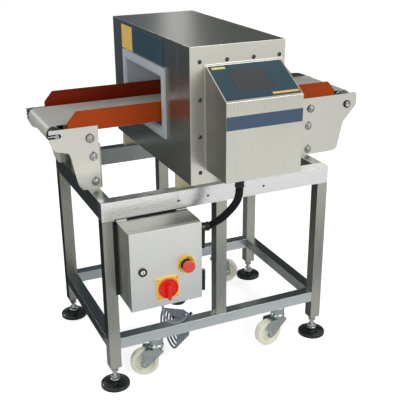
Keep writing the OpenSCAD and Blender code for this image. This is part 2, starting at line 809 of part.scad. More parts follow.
module along_x(x0, length) {
    translate([x0, 0, 0]) rotate([90, 0, 90]) linear_extrude(length) children();
}

module console_housing() {
    placed() color(steel) difference() {
        union() {
            along_x(console_x0, console_width) console_profile(0);
            translate([console_x0 - console_flange, console_y1 - console_wall, console_z0])
                cube([console_width + 2 * console_flange, console_wall,
                    console_top_z - console_z0 + console_flange]);
        }
        along_x(console_x0 + console_wall, console_width - 2 * console_wall) console_profile(console_wall);
        translate([conduit_top[0], conduit_top[1], console_z0 - over])
            cylinder(d = conduit_bore, h = console_wall + 2 * over);
    }
}

// The slanted blue panel, lying on the wedge, with a shallow window for the display
module console_panel() {
    run = norm([console_depth, console_rise]) - lip_depth - panel_margin;
    wide = console_width - 2 * panel_margin;
    placed() color(slate) translate([console_x0 + panel_margin, console_y0, console_lip_z])
        rotate([console_slope, 0, 0]) translate([0, lip_depth, 0]) difference() {
            cube([wide, run, panel_thickness]);
            translate([wide * screen_left_share, run * screen_low_share, panel_thickness / 2])
                cube([wide * screen_width_share, run * screen_height_share, panel_thickness]);
        }
}

// Cables

// A ribbed hose with its bore, swept by length along its route
module conduit() {
    path = smooth(conduit_points, 6);
    ls = lengths(path);
    total = ls[len(ls) - 1];
    plain = conduit_diameter;
    ribs = floor((total - 2 * plain) / conduit_rib_pitch);
    first = (total - ribs * conduit_rib_pitch) / 2;
    high = conduit_diameter / 2;
    low = high * conduit_root_share;
    stations = concat([[0, low]],
        [for (i = [0:ribs - 1]) each [[first + i * conduit_rib_pitch, low],
            [first + (i + 0.5) * conduit_rib_pitch, high]]],
        [[total, low]]);
    bore_rings = floor(ribs / 2);
    placed() color(rubber) hollow_skin(
        [for (s = stations) station_ring(path, ls, s[0], s[1], total)],
        [for (i = [0:bore_rings]) station_ring(path, ls, total * i / bore_rings, conduit_bore / 2, total)]);
}
function station_ring(path, ls, s, r, total) = let (
        d = unit(at_length(path, ls, min(s + look, total)) - at_length(path, ls, max(s - look, 0))))
    ring(at_length(path, ls, s), d, r, conduit_sides);

// A gland along -Z from the origin: a nut against the wall, a body and a domed cap
module gland(bore, length) {
    difference() {
        union() {
            translate([0, 0, -length * gland_nut_share]) hexagon(gland_diameter, length * gland_nut_share);
            mirror([0, 0, 1]) turned(gland_body_shares, gland_diameter / 2, length);
        }
        translate([0, 0, -length - over]) cylinder(d = bore, h = length + 2 * over);
    }
}

module cable_glands() {
    placed() color(rubber) {
        translate([conduit_top[0], conduit_top[1], console_z0]) gland(conduit_bore, gland_length);
        translate([box_x0 + box_width, conduit_side[0], conduit_side[1]]) rotate([0, -90, 0])
            gland(conduit_bore, gland_length);
        translate([cord_exit[0], cord_exit[1], box_z0])
            gland(cord_diameter - gland_squeeze, cord_gland_length);
    }
}

module power_cord() {
    placed() color([0.45, 0.48, 0.52]) swept(smooth(cord_points, 2), cord_diameter, cord_sides);
    placed() color([0.45, 0.48, 0.52]) swept(smooth(tail_points, 2), cord_diameter, cord_sides);
}

// The hanging coil: loops that grow to the left, all touching one level and the rail's back
function coil_point(t) = let (
        s = t / (coil_loops + 0.25), r = coil_radius_first + (coil_radius_last - coil_radius_first) * s)
    [coil_x0 - coil_pitch_x * t, coil_front_y + r + r * sin(360 * t), coil_top_z - r + r * cos(360 * t)];
coil_path = [for (i = [0:(coil_loops + 0.25) * coil_steps]) coil_point(i / coil_steps)];
coil_gap = min([for (i = [0:len(coil_path) - 1], j = [i + coil_steps / 2:len(coil_path) - 1])
    norm(coil_path[i] - coil_path[j])]) - cord_diameter;
echo(coil_gap = coil_gap);

module cord_coil() { placed() color([0.45, 0.48, 0.52]) swept(coil_path, cord_diameter, coil_sides); }

module cord_plug() {
    placed() color(rubber) translate(plug_point) rotate(plug_heading) {
        rotate([0, 90, 0]) turned(plug_shares, plug_diameter / 2, plug_length);
        for (y = [-pin_pitch / 2, pin_pitch / 2]) translate([plug_length - over, y, 0])
            rod(0, pin_diameter, pin_length + over);
    }
}

// Control box

module box_body() {
    placed() color(steel) {
        difference() {
            translate([box_x0, box_y0, box_z0]) cube([box_width, box_depth, box_height]);
            translate([box_x0 + box_wall, box_y0 + box_wall, box_z0 + box_wall])
                cube([box_width - 2 * box_wall, box_depth - 2 * box_wall, box_height - 2 * box_wall]);
            translate([box_x0 + box_lip, box_y0 - over, box_z0 + box_lip])
                cube([box_width - 2 * box_lip, box_wall + 2 * over, box_height - 2 * box_lip]);
            translate([box_x0 + box_width - box_wall - over, conduit_side[0], conduit_side[1]])
                rod(0, conduit_bore, box_wall + 2 * over);
            translate([cord_exit[0], cord_exit[1], box_z0 - over])
                cylinder(d = cord_diameter, h = box_wall + 2 * over);
        }
        // Two brackets on its back, with a flange each under the top rail
        for (x = [box_x0 + box_wall, box_x0 + box_width - box_wall - hanger_width])
            translate([x, box_y1, 0]) {
                translate([0, -box_wall, box_z0 + box_height / 2])
                    cube([hanger_width, box_wall + hanger_sheet, box_height / 2 - box_wall]);
                translate([0, 0, box_z0 + box_height / 2])
                    cube([hanger_width, hanger_sheet, rail_under - box_z0 - box_height / 2]);
                translate([0, 0, rail_under - hanger_sheet])
                    cube([hanger_width, hanger_flange, hanger_sheet]);
            }
    }
}

module box_door() {
    low = box_z0 - door_overhang;
    wide = door_x1 - door_x0;
    high = box_height + 2 * door_overhang;
    placed() color(steel) difference() {
        translate([door_x0, door_y0, low]) cube([wide, door_depth, high]);
        translate([door_x0 + box_wall, door_y0 + box_wall, low + box_wall])
            cube([wide - 2 * box_wall, door_depth, high - 2 * box_wall]);
        translate([switch_x, door_y0 - over, switch_z]) rod(1, switch_boss, box_wall + 2 * over);
        translate([estop_x, door_y0 - over, estop_z]) rod(1, estop_stem + 2 * seat, box_wall + 2 * over);
        translate([lock_x, door_y0 - over, lock_z]) rod(1, lock_barrel + 2 * fit, box_wall + 2 * over);
    }
    placed() color(steel) for (z = hinge_zs) difference() {
        union() {
            translate([hinge_x, hinge_y, z + hinge_knuckle + seat])
                cylinder(d = hinge_diameter, h = hinge_knuckle);
            translate([door_x1 - box_wall, hinge_y - hinge_leaf / 2, z + hinge_knuckle + seat])
                cube([hinge_x - door_x1 + box_wall, hinge_leaf, hinge_knuckle]);
        }
        translate([hinge_x, hinge_y, z]) cylinder(d = hinge_pin + 2 * fit, h = 2 * hinge_knuckle + 2 * over);
    }
}

// Mounting plate with the drive inverter, the contactor and the terminal rail
module box_chassis() {
    front = box_y1 - box_wall - chassis_stand - chassis_sheet;
    placed() color([0.8, 0.8, 0.78]) {
        translate([box_x0 + chassis_inset, front, box_z0 + chassis_inset])
            cube([box_width - 2 * chassis_inset, chassis_sheet, box_height - 2 * chassis_inset]);
        for (x = [peg_inset, box_width - peg_inset]) for (z = [peg_inset, box_height - peg_inset])
            translate([box_x0 + x, front, box_z0 + z]) rod(1, peg_diameter, chassis_sheet + chassis_stand);
        for (g = gear_shares)
            translate([box_x0 + g[0] * box_width, front - g[4] * box_depth, box_z0 + g[1] * box_height])
                cube([g[2] * box_width, g[4] * box_depth + chassis_sheet / 2, g[3] * box_height]);
    }
}

// The fixed knuckle of each outside hinge, with its pin and its leaf along the box's side
module box_hinges() {
    placed() color(rubber) for (z = hinge_zs) {
        translate([hinge_x, hinge_y, z]) cylinder(d = hinge_diameter, h = hinge_knuckle);
        translate([hinge_x, hinge_y, z]) cylinder(d = hinge_pin, h = 2 * hinge_knuckle + seat);
        translate([box_x0 + box_width, hinge_y, z]) cube([hinge_leaf, hinge_leaf_reach, hinge_knuckle]);
    }
}

module switch_plate() {
    side = switch_plate_side;
    placed() color([0.94, 0.7, 0.2]) difference() {
        union() {
            upright(door_y0 - switch_plate_depth, switch_plate_depth)
                translate([switch_x - side / 2, switch_z - side / 2])
                    round_box([side, side], side * switch_corner_share);
            translate([switch_x, door_y0 - over, switch_z])
                rod(1, switch_boss - 2 * seat, over + door_depth + switch_body);
        }
        translate([switch_x, door_y0 - switch_plate_depth - over, switch_z])
            rod(1, grip_width + 2 * fit, switch_plate_depth + over);
    }
}

// A dished disc with a raised rim, and a tapered grip that points across the rim
module switch_handle() {
    front = door_y0 - switch_plate_depth - seat;
    placed() color([0.86, 0.12, 0.12]) {
        translate([switch_x, front, switch_z]) rotate([90, 0, 0])
            turned(handle_profile_shares, handle_diameter / 2, handle_depth);
        translate([switch_x, front - over, switch_z]) rod(1, grip_width, over + switch_plate_depth - seat);
        upright(front - handle_depth - grip_depth, grip_depth + handle_depth / 2) hull() {
            translate([switch_x, switch_z + grip_rise]) circle(d = grip_width, $fn = hull_fn);
            translate([switch_x, switch_z + grip_rise - grip_length - grip_width])
                circle(d = grip_width * grip_taper_share, $fn = hull_fn);
        }
    }
}

module estop_collar() {
    placed() color([0.95, 0.78, 0.15]) difference() {
        union() {
            translate([estop_x, door_y0 - estop_ring_depth, estop_z]) rod(1, estop_ring, estop_ring_depth);
            translate([estop_x, door_y0 - collar_depth, estop_z]) rod(1, collar_diameter, collar_depth);
            translate([estop_x, door_y0 - estop_ring_depth, estop_z])
                rod(1, estop_stem, estop_ring_depth + box_wall + door_depth);
        }
        translate([estop_x, door_y0 - collar_depth - over, estop_z])
            rod(1, estop_plunger + 2 * fit, collar_depth + estop_travel + over);
    }
}

module estop_button() {
    front = door_y0 - collar_depth - estop_travel - seat;
    placed() color([0.86, 0.2, 0.18]) translate([estop_x, front, estop_z]) rotate([90, 0, 0]) {
        turned(mushroom_shares, mushroom_diameter / 2, mushroom_depth);
        translate([0, 0, seat - collar_depth]) cylinder(d = estop_plunger, h = collar_depth);
    }
}

// The cam lock, open: a black bezel with a recessed core, and its cam hanging behind the door
module cam_lock() {
    cam_y = box_y0 + box_wall + seat;
    placed() color(rubber) {
        difference() {
            translate([lock_x, door_y0 - lock_depth, lock_z]) rod(1, lock_diameter, lock_depth - seat);
            translate([lock_x, door_y0 - lock_depth - over, lock_z])
                rod(1, lock_core, over + lock_depth * lock_recess_share);
        }
        translate([lock_x, door_y0 - lock_depth / 2, lock_z])
            rod(1, lock_barrel, lock_depth / 2 + cam_y - door_y0 + cam_sheet / 2);
        upright(cam_y, cam_sheet) hull() {
            translate([lock_x, lock_z]) circle(d = cam_width, $fn = hull_fn);
            translate([lock_x, lock_z - cam_length]) circle(d = cam_width, $fn = hull_fn);
        }
    }
}

module buzzer() {
    placed() color(rubber) translate([buzzer_x, buzzer_y, box_z0]) mirror([0, 0, 1])
        turned(buzzer_shares, buzzer_diameter / 2, buzzer_height);
}

// Conveyor

// The bed: a folded sheet under the belt, with a shelf along each guide
module slider_bed() {
    top = belt_under - seat;
    half = belt_width / 2 + bed_over_belt;
    shelf = conveyor_width / 2 - plate_thickness - guide_gap - guide_sheet - guide_gap;
    placed() color(dark_steel) along_x(bed_x0, bed_x1 - bed_x0) translate([lane_y, 0]) {
        translate([-half, top - bed_sheet]) square([2 * half, bed_sheet]);
        for (s = [0, 1]) mirror([s, 0]) {
            translate([half - bed_sheet, bed_shelf_z]) square([bed_sheet, top - bed_shelf_z]);
            translate([half - bed_sheet, bed_shelf_z]) square([shelf - half + bed_sheet, bed_sheet]);
        }
    }
}

// The loop that the belt's inner face follows, grown for its outer face
module belt_loop(grow) {
    difference() {
        belt_span(grow);
        for (x = [tail_return_x, drive_return_x]) translate([x, return_axis_z])
            circle(d = return_diameter + 2 * (seat + belt_thickness - grow));
    }
}

module belt_span(grow) {
    low = strand_z + belt_thickness - grow;
    high = belt_under + grow;
    translate([tail_return_x, low]) square([drive_return_x - tail_return_x, high - low]);
    hull() {
        translate([tail_return_x, low]) square([over, high - low]);
        translate([tail_x, tail_z]) circle(d = tail_diameter + 2 * grow);
    }
    hull() {
        translate([drive_return_x - over, low]) square([over, high - low]);
        translate([drive_x, drive_z]) circle(d = drum_diameter + 2 * grow);
    }
}

module belt() {
    placed() color([0.66, 0.65, 0.6]) upright(belt_y0, belt_width) difference() {
        belt_loop(belt_thickness);
        belt_loop(0);
    }
}

// A slightly crowned roller on its dead shaft
module roller(x, z, diameter) {
    crown = belt_width / 4;
    r = diameter / 2 - seat;
    translate([x, belt_y0, z]) rotate([-90, 0, 0]) rotate_extrude() polygon([
        [shaft_diameter / 2 + fit, 0], [r * crown_share, 0], [r, crown], [r, belt_width - crown],
        [r * crown_share, belt_width], [shaft_diameter / 2 + fit, belt_width]]);
}

module tail_roller() { placed() color([0.7, 0.7, 0.7]) roller(tail_x, tail_z, tail_diameter); }
module drive_drum() { placed() color([0.6, 0.6, 0.6]) roller(drive_x, drive_z, drum_diameter); }
module return_roller_tail() {
    placed() color([0.7, 0.7, 0.7]) roller(tail_return_x, return_axis_z, return_diameter);
}
module return_roller_drive() {
    placed() color([0.7, 0.7, 0.7]) roller(drive_return_x, return_axis_z, return_diameter);
}

module roller_shafts() {
    screw_x = tail_x - arm_tip - over;
    places = [[tail_x, tail_z], [drive_x, drive_z], [tail_return_x, return_axis_z],
        [drive_return_x, return_axis_z]];
    placed() color([0.75, 0.75, 0.75]) {
        for (p = places) translate([p[0], plate_y0 - shaft_reach, p[1]])
            rod(1, shaft_diameter, conveyor_width + 2 * shaft_reach);
        for (y = [plate_y0 + plate_thickness / 2, plate_y1 - plate_thickness / 2])
            translate([screw_x, y, tail_z]) rod(0, tension_screw, tail_x - screw_x);
    }
}

module tail_plate_outline() {
    tip = tail_x - arm_tip;
    size = [tail_foot_x - tip, plate_low - plate_top];
    difference() {
        polygon(spread(tail_plate_shares, [tip, plate_top], size));
        translate([tip - over, tail_z - slot_width / 2])
            square([slot_depth - slot_width / 2 + over, slot_width]);
        translate([tip + slot_depth - slot_width / 2, tail_z]) circle(d = slot_width);
        translate([tail_return_x, return_axis_z]) circle(d = shaft_diameter + 2 * fit);
        for (b = spread(tail_bolt_shares, [tip, plate_top], size)) bolt_slot(b);
    }
}

module bolt_slot(at) {
    translate(at) {
        circle(d = bolt_diameter);
        translate([0, bolt_slot_height / 2]) circle(d = bolt_diameter);
        translate([-bolt_diameter / 2, 0]) square([bolt_diameter, bolt_slot_height / 2]);
    }
}

module drive_plate_outline() {
    tip = drive_x + drive_tip;
    size = [drive_back_x - tip, plate_low - plate_top];
    difference() {
        polygon(spread(drive_plate_shares, [tip, plate_top], size));
        translate([drive_x, drive_z]) circle(d = shaft_diameter + 2 * fit);
        translate([drive_return_x, return_axis_z]) circle(d = shaft_diameter + 2 * fit);
        for (b = spread(drive_bolt_shares, [tip, plate_top], size)) bolt_slot(b);
    }
}

module side_plates() {
    placed() color(steel) for (y = [plate_y0, plate_y1 - plate_thickness]) upright(y, plate_thickness) {
        tail_plate_outline();
        drive_plate_outline();
    }
}

module guide_outline() {
    top = belt_height + guide_height;
    low = belt_height - guide_drop;
    polygon([[guide_x0, low], [guide_x1, low], [guide_x1, top - guide_chamfer_z],
        [guide_x1 - guide_chamfer_x, top], [guide_x0 + guide_chamfer_x, top],
        [guide_x0, top - guide_chamfer_z]]);
}

module side_guides() {
    inset = plate_thickness + guide_gap;
    placed() color(orange) for (y = [plate_y0 + inset, plate_y1 - inset - guide_sheet])
        upright(y, guide_sheet) guide_outline();
}

// Brackets welded on the side rails, each with a rib, that the plates are bolted to
module conveyor_stand(x) {
    translate([x, 0, frame_height]) {
        cube([stand_side, stand_sheet, stand_height]);
        translate([(stand_side - stand_sheet) / 2, 0, 0]) cube([stand_sheet, stand_rib, stand_height]);
    }
}

// The motor's terminal box, with one round end, is bolted outside the far drive plate
module motor_box() {
    r = motor_box_depth / 3;
    translate([motor_box_x, plate_y1, motor_box_top - motor_box_height]) linear_extrude(motor_box_height) {
        square([motor_box_length, motor_box_depth - r]);
        square([motor_box_length - r, motor_box_depth]);
        translate([motor_box_length - r, motor_box_depth - r]) circle(r);
    }
}

module conveyor_stands() {
    placed() color(dark_steel) {
        for (x = [tail_stand_x, drive_stand_x]) {
            translate([0, plate_y0 + plate_thickness, 0]) conveyor_stand(x);
            translate([0, plate_y1 - plate_thickness, 0]) mirror([0, 1, 0]) conveyor_stand(x);
        }
        difference() {
            motor_box();
            translate([drive_x, plate_y1 - over, drive_z])
                rod(1, shaft_diameter + 2 * fit, shaft_reach + seat + over);
        }
    }
}

leg_front_left();
leg_front_right();
leg_rear_left();
leg_rear_right();
middle_legs();
top_rail_front();
top_rail_rear();
top_side_rails();
bottom_long_rails();
bottom_side_rails();
head_blocks();
foot_stem_front_left();
foot_stem_front_right();
foot_stem_rear_left();
foot_stem_rear_right();
foot_pad_front_left();
foot_pad_front_right();
foot_pad_rear_left();
foot_pad_rear_right();
castor_fork_front_left();
castor_fork_front_right();
castor_fork_rear_left();
castor_fork_rear_right();
castor_wheel_front_left();
castor_wheel_front_right();
castor_wheel_rear_left();
castor_wheel_rear_right();
castor_stems();
head_shell();
head_front_cover();
tunnel_liner();
tunnel_frames();
search_coils();
console_housing();
console_panel();
conduit();
cable_glands();
box_body();
box_door();
box_chassis();
box_hinges();
switch_plate();
switch_handle();
estop_collar();
estop_button();
cam_lock();
buzzer();
slider_bed();
belt();
tail_roller();
drive_drum();
roller_shafts();
return_roller_tail();
return_roller_drive();
side_plates();
side_guides();
conveyor_stands();
power_cord();
cord_coil();
cord_plug();
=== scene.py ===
import math

import bmesh
import bpy
from mathutils import Matrix, Vector

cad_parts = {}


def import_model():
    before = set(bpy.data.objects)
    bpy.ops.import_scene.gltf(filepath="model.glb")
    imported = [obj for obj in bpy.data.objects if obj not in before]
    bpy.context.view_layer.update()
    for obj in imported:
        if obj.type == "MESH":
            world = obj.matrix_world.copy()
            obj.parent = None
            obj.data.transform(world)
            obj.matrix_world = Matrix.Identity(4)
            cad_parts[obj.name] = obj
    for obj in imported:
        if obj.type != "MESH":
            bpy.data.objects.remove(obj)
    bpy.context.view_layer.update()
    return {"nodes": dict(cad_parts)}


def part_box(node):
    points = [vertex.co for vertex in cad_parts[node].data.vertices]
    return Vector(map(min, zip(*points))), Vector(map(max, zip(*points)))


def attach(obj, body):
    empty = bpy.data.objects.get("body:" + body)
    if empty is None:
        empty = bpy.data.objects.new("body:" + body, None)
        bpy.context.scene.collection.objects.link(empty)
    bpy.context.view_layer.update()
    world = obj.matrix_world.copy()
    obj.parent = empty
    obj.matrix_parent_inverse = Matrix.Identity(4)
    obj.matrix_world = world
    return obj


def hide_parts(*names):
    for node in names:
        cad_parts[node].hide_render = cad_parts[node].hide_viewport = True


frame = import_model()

# Sizes below are in millimetres from the middle of the stand, as the part's source draws them.
MIDDLE = (45.5, -92.0)
NAMES = ("front_left", "front_right", "rear_left", "rear_right")
CASTOR_X = (-243, 243, -243, 243)
CORNER_Y = (-261, -261, 261, 261)  # of castors and feet
CASTOR_HEADING = (160, 183, 256, 350)
FOOT_X = (-397, 397, -397, 397)


def at(x, y, z):
    """A point in metres in the frame."""
    return Vector(((x - MIDDLE[0]) / 1000, (y - MIDDLE[1]) / 1000, z / 1000))


# Camera, solved from the photograph's frame tubes

CAMERA_PLACE = (-1026.25, -2369.48, 1561.31)
CAMERA_YAW, CAMERA_PITCH, CAMERA_ROLL = 24.38, -21.90, -0.44
LENS, SENSOR = 67.62, 36.0


def camera_axes():
    """The camera's right, its up and the way back from it."""
    yaw, pitch, roll = (math.radians(a) for a in (CAMERA_YAW, CAMERA_PITCH, CAMERA_ROLL))
    ahead = Vector((math.sin(yaw) * math.cos(pitch), math.cos(yaw) * math.cos(pitch), math.sin(pitch)))
    right = Vector((math.cos(yaw), -math.sin(yaw), 0))
    up = right.cross(ahead)
    across = right * math.cos(roll) + up * math.sin(roll)
    upward = up * math.cos(roll) - right * math.sin(roll)
    return across, upward, -ahead


def make_camera():
    data = bpy.data.cameras.new("camera")
    data.lens, data.sensor_width, data.sensor_fit = LENS, SENSOR, "HORIZONTAL"
    camera = bpy.data.objects.new("camera", data)
    bpy.context.scene.collection.objects.link(camera)
    turn = Matrix(camera_axes()).transposed().to_4x4()
    camera.matrix_world = Matrix.Translation(at(*CAMERA_PLACE)) @ turn
    bpy.context.scene.camera = camera


make_camera()


# Materials: procedural, in object coordinates, with colour, roughness and relief that vary

NOISE_LOW, NOISE_HIGH = 0.3, 0.7  # where a noise's values mostly lie
TURN_LOW, TURN_HIGH = 0.6, 0.9  # the normal's part between which a finish changes with the way a face looks
LEAST_STRETCH = 0.15  # of the large patches, along the grain
SMUDGE_SIZE, SMUDGE_LOW, SMUDGE_HIGH = 0.35, 0.35, 0.6
PATCH_DETAIL, GRAIN_DETAIL, SMUDGE_DETAIL = 4.0, 2.0, 6.0
RELIEF_DEPTH = 0.0008
WHITE = (1, 1, 1, 1)


def linear(r, g, b):
    return tuple((c / 255 / 12.92) if c <= 10 else ((c / 255 + 0.055) / 1.055) ** 2.4 for c in (r, g, b))


def shade(colour, amount):
    return tuple(max(0.0, min(1.0, c * amount)) for c in colour) + (1.0,)


def noise_node(tree, coords, scale, detail, stretch=(1, 1, 1)):
    mapping = tree.nodes.new("ShaderNodeMapping")
    mapping.inputs["Scale"].default_value = stretch
    tree.links.new(coords, mapping.inputs["Vector"])
    noise = tree.nodes.new("ShaderNodeTexNoise")
    noise.inputs["Scale"].default_value = scale
    noise.inputs["Detail"].default_value = detail
    tree.links.new(mapping.outputs["Vector"], noise.inputs["Vector"])
    return noise.outputs["Fac"]


def ramp_node(tree, fac, stops):
    ramp = tree.nodes.new("ShaderNodeValToRGB")
    elements = ramp.color_ramp.elements
    while len(elements) < len(stops):
        elements.new(0.5)
    for element, (place, colour) in zip(elements, stops):
        element.position, element.color = place, colour
    tree.links.new(fac, ramp.inputs["Fac"])
    return ramp.outputs["Color"]


def range_node(tree, fac, low, high, from_low=NOISE_LOW, from_high=NOISE_HIGH):
    node = tree.nodes.new("ShaderNodeMapRange")
    for name, value in (("From Min", from_low), ("From Max", from_high), ("To Min", low), ("To Max", high)):
        node.inputs[name].default_value = value
    tree.links.new(fac, node.inputs["Value"])
    return node.outputs["Result"]


def mix_node(tree, fac, a, b, blend="MIX"):
    node = tree.nodes.new("ShaderNodeMix")
    node.data_type, node.blend_type = "RGBA", blend
    for socket, value in (("Factor", fac), ("A", a), ("B", b)):
        target = [s for s in node.inputs if s.name == socket and s.enabled][0]
        if isinstance(value, (tuple, float)):
            target.default_value = value
        else:
            tree.links.new(value, target)
    return [s for s in node.outputs if s.enabled][0]


def by_turn(tree, part, start, end):
    """A value that runs from start to end as this part of the normal grows."""
    return range_node(tree, part, start, end, TURN_LOW, TURN_HIGH)


def facing_parts(tree):
    """How square a face stands to X, either way, and how much it faces up."""
    split = tree.nodes.new("ShaderNodeSeparateXYZ")
    tree.links.new(tree.nodes.new("ShaderNodeTexCoord").outputs["Normal"], split.inputs["Vector"])
    across = tree.nodes.new("ShaderNodeMath")
    across.operation = "ABSOLUTE"
    tree.links.new(split.outputs["X"], across.inputs[0])
    return across.outputs[0], split.outputs["Z"]


def painted_facing_shade(tree, colour, side, top):
    """Painted shade: faces square to X, either way, are darkened by one factor and tops by another."""
    across, upward = facing_parts(tree)
    colour = mix_node(tree, 1.0, colour, by_turn(tree, across, 1.0, side), "MULTIPLY")
    return mix_node(tree, 1.0, colour, by_turn(tree, upward, 1.0, top), "MULTIPLY")


def material(name, rgb, rough, metal, vary, scale, fine, stretch=(1, 1, 1), relief=0.06,
             rough_spread=0.08, spec=0.5, smudge=0.0, painted_side_top_shade=None):
    """One finish: large soft patches, a fine grain along its stretch, and both in the relief and gloss."""
    made = bpy.data.materials.new(name)
    made.use_nodes = True
    tree = made.node_tree
    shader = tree.nodes["Principled BSDF"]
    coords = tree.nodes.new("ShaderNodeTexCoord").outputs["Object"]
    base = linear(*rgb)
    broad = tuple(1 if s == 1 else max(s, LEAST_STRETCH) for s in stretch)
    patches = noise_node(tree, coords, scale, PATCH_DETAIL, broad)
    grain = noise_node(tree, coords, fine, GRAIN_DETAIL, stretch)
    ends = [(NOISE_LOW, shade(base, 1 - vary)), (NOISE_HIGH, shade(base, 1 + vary))]
    colour = ramp_node(tree, patches, ends)
    streak = ramp_node(tree, grain, [(NOISE_LOW, shade(WHITE[:3], 1 - vary)), (NOISE_HIGH, WHITE)])
    colour = mix_node(tree, 1.0, colour, streak, "MULTIPLY")
    if smudge:
        spots = noise_node(tree, coords, scale * SMUDGE_SIZE, SMUDGE_DETAIL)
        dirt = ramp_node(tree, spots, [(SMUDGE_LOW, shade(WHITE[:3], 1 - smudge)), (SMUDGE_HIGH, WHITE)])
        colour = mix_node(tree, 1.0, colour, dirt, "MULTIPLY")
    # Painted shade: faces square to X and tops are darkened by the given factors
    if painted_side_top_shade:
        colour = painted_facing_shade(tree, colour, *painted_side_top_shade)
    tree.links.new(colour, shader.inputs["Base Color"])
    gloss = range_node(tree, grain, rough - rough_spread, rough + rough_spread)
    tree.links.new(gloss, shader.inputs["Roughness"])
    shader.inputs["Metallic"].default_value = metal
    shader.inputs["Specular IOR Level"].default_value = spec
    bump = tree.nodes.new("ShaderNodeBump")
    bump.inputs["Strength"].default_value = relief
    bump.inputs["Distance"].default_value = RELIEF_DEPTH
    tree.links.new(grain, bump.inputs["Height"])
    tree.links.new(bump.outputs["Normal"], shader.inputs["Normal"])
    return made


def two_tone(made, rgb, low, high):
    """A second colour where the object-space Y passes from low to high, in metres."""
    tree = made.node_tree
    socket = tree.nodes["Principled BSDF"].inputs["Base Color"]
    before = socket.links[0].from_socket
    split = tree.nodes.new("ShaderNodeSeparateXYZ")
    tree.links.new(tree.nodes["Texture Coordinate"].outputs["Object"], split.inputs["Vector"])
    side = range_node(tree, split.outputs["Y"], 0.0, 1.0, low, high)
    tree.links.new(mix_node(tree, side, before, shade(linear(*rgb), 1.0)), socket)
    return made


def rough_sides(made, rough):
    """Faces square to X are at least this rough, so that they mirror less."""
    tree = made.node_tree
    socket = tree.nodes["Principled BSDF"].inputs["Roughness"]
    before = socket.links[0].from_socket
    larger = tree.nodes.new("ShaderNodeMath")
    larger.operation = "MAXIMUM"
    tree.links.new(before, larger.inputs[0])
    tree.links.new(by_turn(tree, facing_parts(tree)[0], 0.0, rough), larger.inputs[1])
    tree.links.new(larger.outputs[0], socket)
    return made


ALONG_X, ALONG_Y, ALONG_Z = (0.02, 1, 1), (1, 0.02, 1), (1, 1, 0.02)


def steel(name, along, rough, rgb, vary=0.03, painted_side_top_shade=(0.5, 0.6)):
    """Brushed stainless sheet or tube, with its grain along one axis, and painted shade on its faces square
    to X and on its tops.
    """
    return material(name, rgb, rough, metal=1.0, vary=vary, scale=5.0, fine=520.0, stretch=along,
                    relief=0.008, rough_spread=0.025, smudge=0.04, painted_side_top_shade=painted_side_top_shade)


# One frame steel in lit and shaded copies: the front rail's copy is painted lighter as painted light, the
# rear and side rails' copy darker as painted shade
STEEL_X_LIT = steel("steel_brushed_x_painted_lit", ALONG_X, 0.28, (240, 241, 240), 0.018)
STEEL_LOW = steel("steel_low_rails", ALONG_X, 0.3, (206, 213, 214))
STEEL_Y_SHADED = steel("steel_brushed_y_painted_shade", ALONG_Y, 0.3, (146, 152, 150), painted_side_top_shade=(0.8, 0.8))
STEEL_Z = steel("steel_brushed_z", ALONG_Z, 0.28, (180, 181, 171), painted_side_top_shade=(0.24, 0.7))
SHEET_Z = steel("sheet_brushed_z", ALONG_Z, 0.26, (220, 219, 209), painted_side_top_shade=(0.3, 0.6))
SHEET_Z = rough_sides(SHEET_Z, 0.46)
COVER_Z = steel("cover_brushed_z", ALONG_Z, 0.3, (222, 221, 211), 0.02, (0.53, 0.68))
DOOR_Z = steel("door_brushed_z", ALONG_Z, 0.42, (236, 237, 232))
SHEET_X = steel("sheet_brushed_x", ALONG_X, 0.3, (214, 213, 204), painted_side_top_shade=(0.62, 0.31))
PLATE = steel("plate_brushed", ALONG_X, 0.36, (222, 220, 211), 0.03)

# Rows: name, colour, roughness, metal, variation, scale of the patches, scale of the grain
ZINC = material("zinc", (170, 180, 177), 0.27, 1.0, 0.1, 40, 260, relief=0.08, smudge=0.15)
SCREW = material("screw_steel", (84, 84, 82), 0.24, 1.0, 0.08, 60, 400, relief=0.05, rough_spread=0.05)
CORE = material("lock_core_steel", (236, 236, 232), 0.4, 0.4, 0.05, 60, 400, relief=0.05)
BOLT = material("bolt_steel", (176, 177, 175), 0.22, 1.0, 0.06, 60, 400, relief=0.05, rough_spread=0.05)
SCREW_ZINC = material("screw_zinc", (178, 180, 176), 0.22, 1.0, 0.08, 60, 300, rough_spread=0.06)
# Painted shade: a black for the screws' wells, the rings round the plates' bolts and the lock's slot
SHADE_BLACK = material("painted_shade_black", (14, 14, 15), 0.6, 0.0, 0.2, 60, 400)
RUBBER = material("moulded_black", (17, 20, 21), 0.42, 0.0, 0.2, 30, 500, relief=0.14, rough_spread=0.1,
                  spec=0.35)
PAD = material("pad_rubber", (12, 18, 21), 0.3, 0.0, 0.25, 30, 420, relief=0.2, rough_spread=0.12, spec=0.5)
HOSE = material("hose_black", (6, 11, 13), 0.4, 0.0, 0.15, 40, 500, relief=0.1, rough_spread=0.1, spec=0.18)
CREAM = material("nylon_cream", (238, 237, 220), 0.42, 0.0, 0.05, 25, 300, relief=0.05, smudge=0.08)
BLOCK = material("block_cream", (206, 198, 170), 0.5, 0.0, 0.07, 20, 260, relief=0.08, smudge=0.06)
LINER = material("liner_grey", (178, 186, 192), 0.45, 0.0, 0.05, 12, 320, stretch=(1, 0.2, 1))
COPPER = material("coil_copper", (190, 120, 70), 0.35, 1.0, 0.12, 30, 500, ALONG_Y, relief=0.2)
BELT = material("belt_coated", (184, 183, 176), 0.4, 0.0, 0.04, 9, 900, relief=0.16, rough_spread=0.05,
                smudge=0.05)
GALVANISED = material("galvanised", (178, 180, 178), 0.4, 0.9, 0.14, 70, 200, relief=0.05)
CORD = material("cord_grey", (128, 138, 150), 0.45, 0.0, 0.08, 40, 400, relief=0.05)
SEAL = material("seal_foam", (40, 42, 42), 0.8, 0.0, 0.2, 60, 500, relief=0.25)
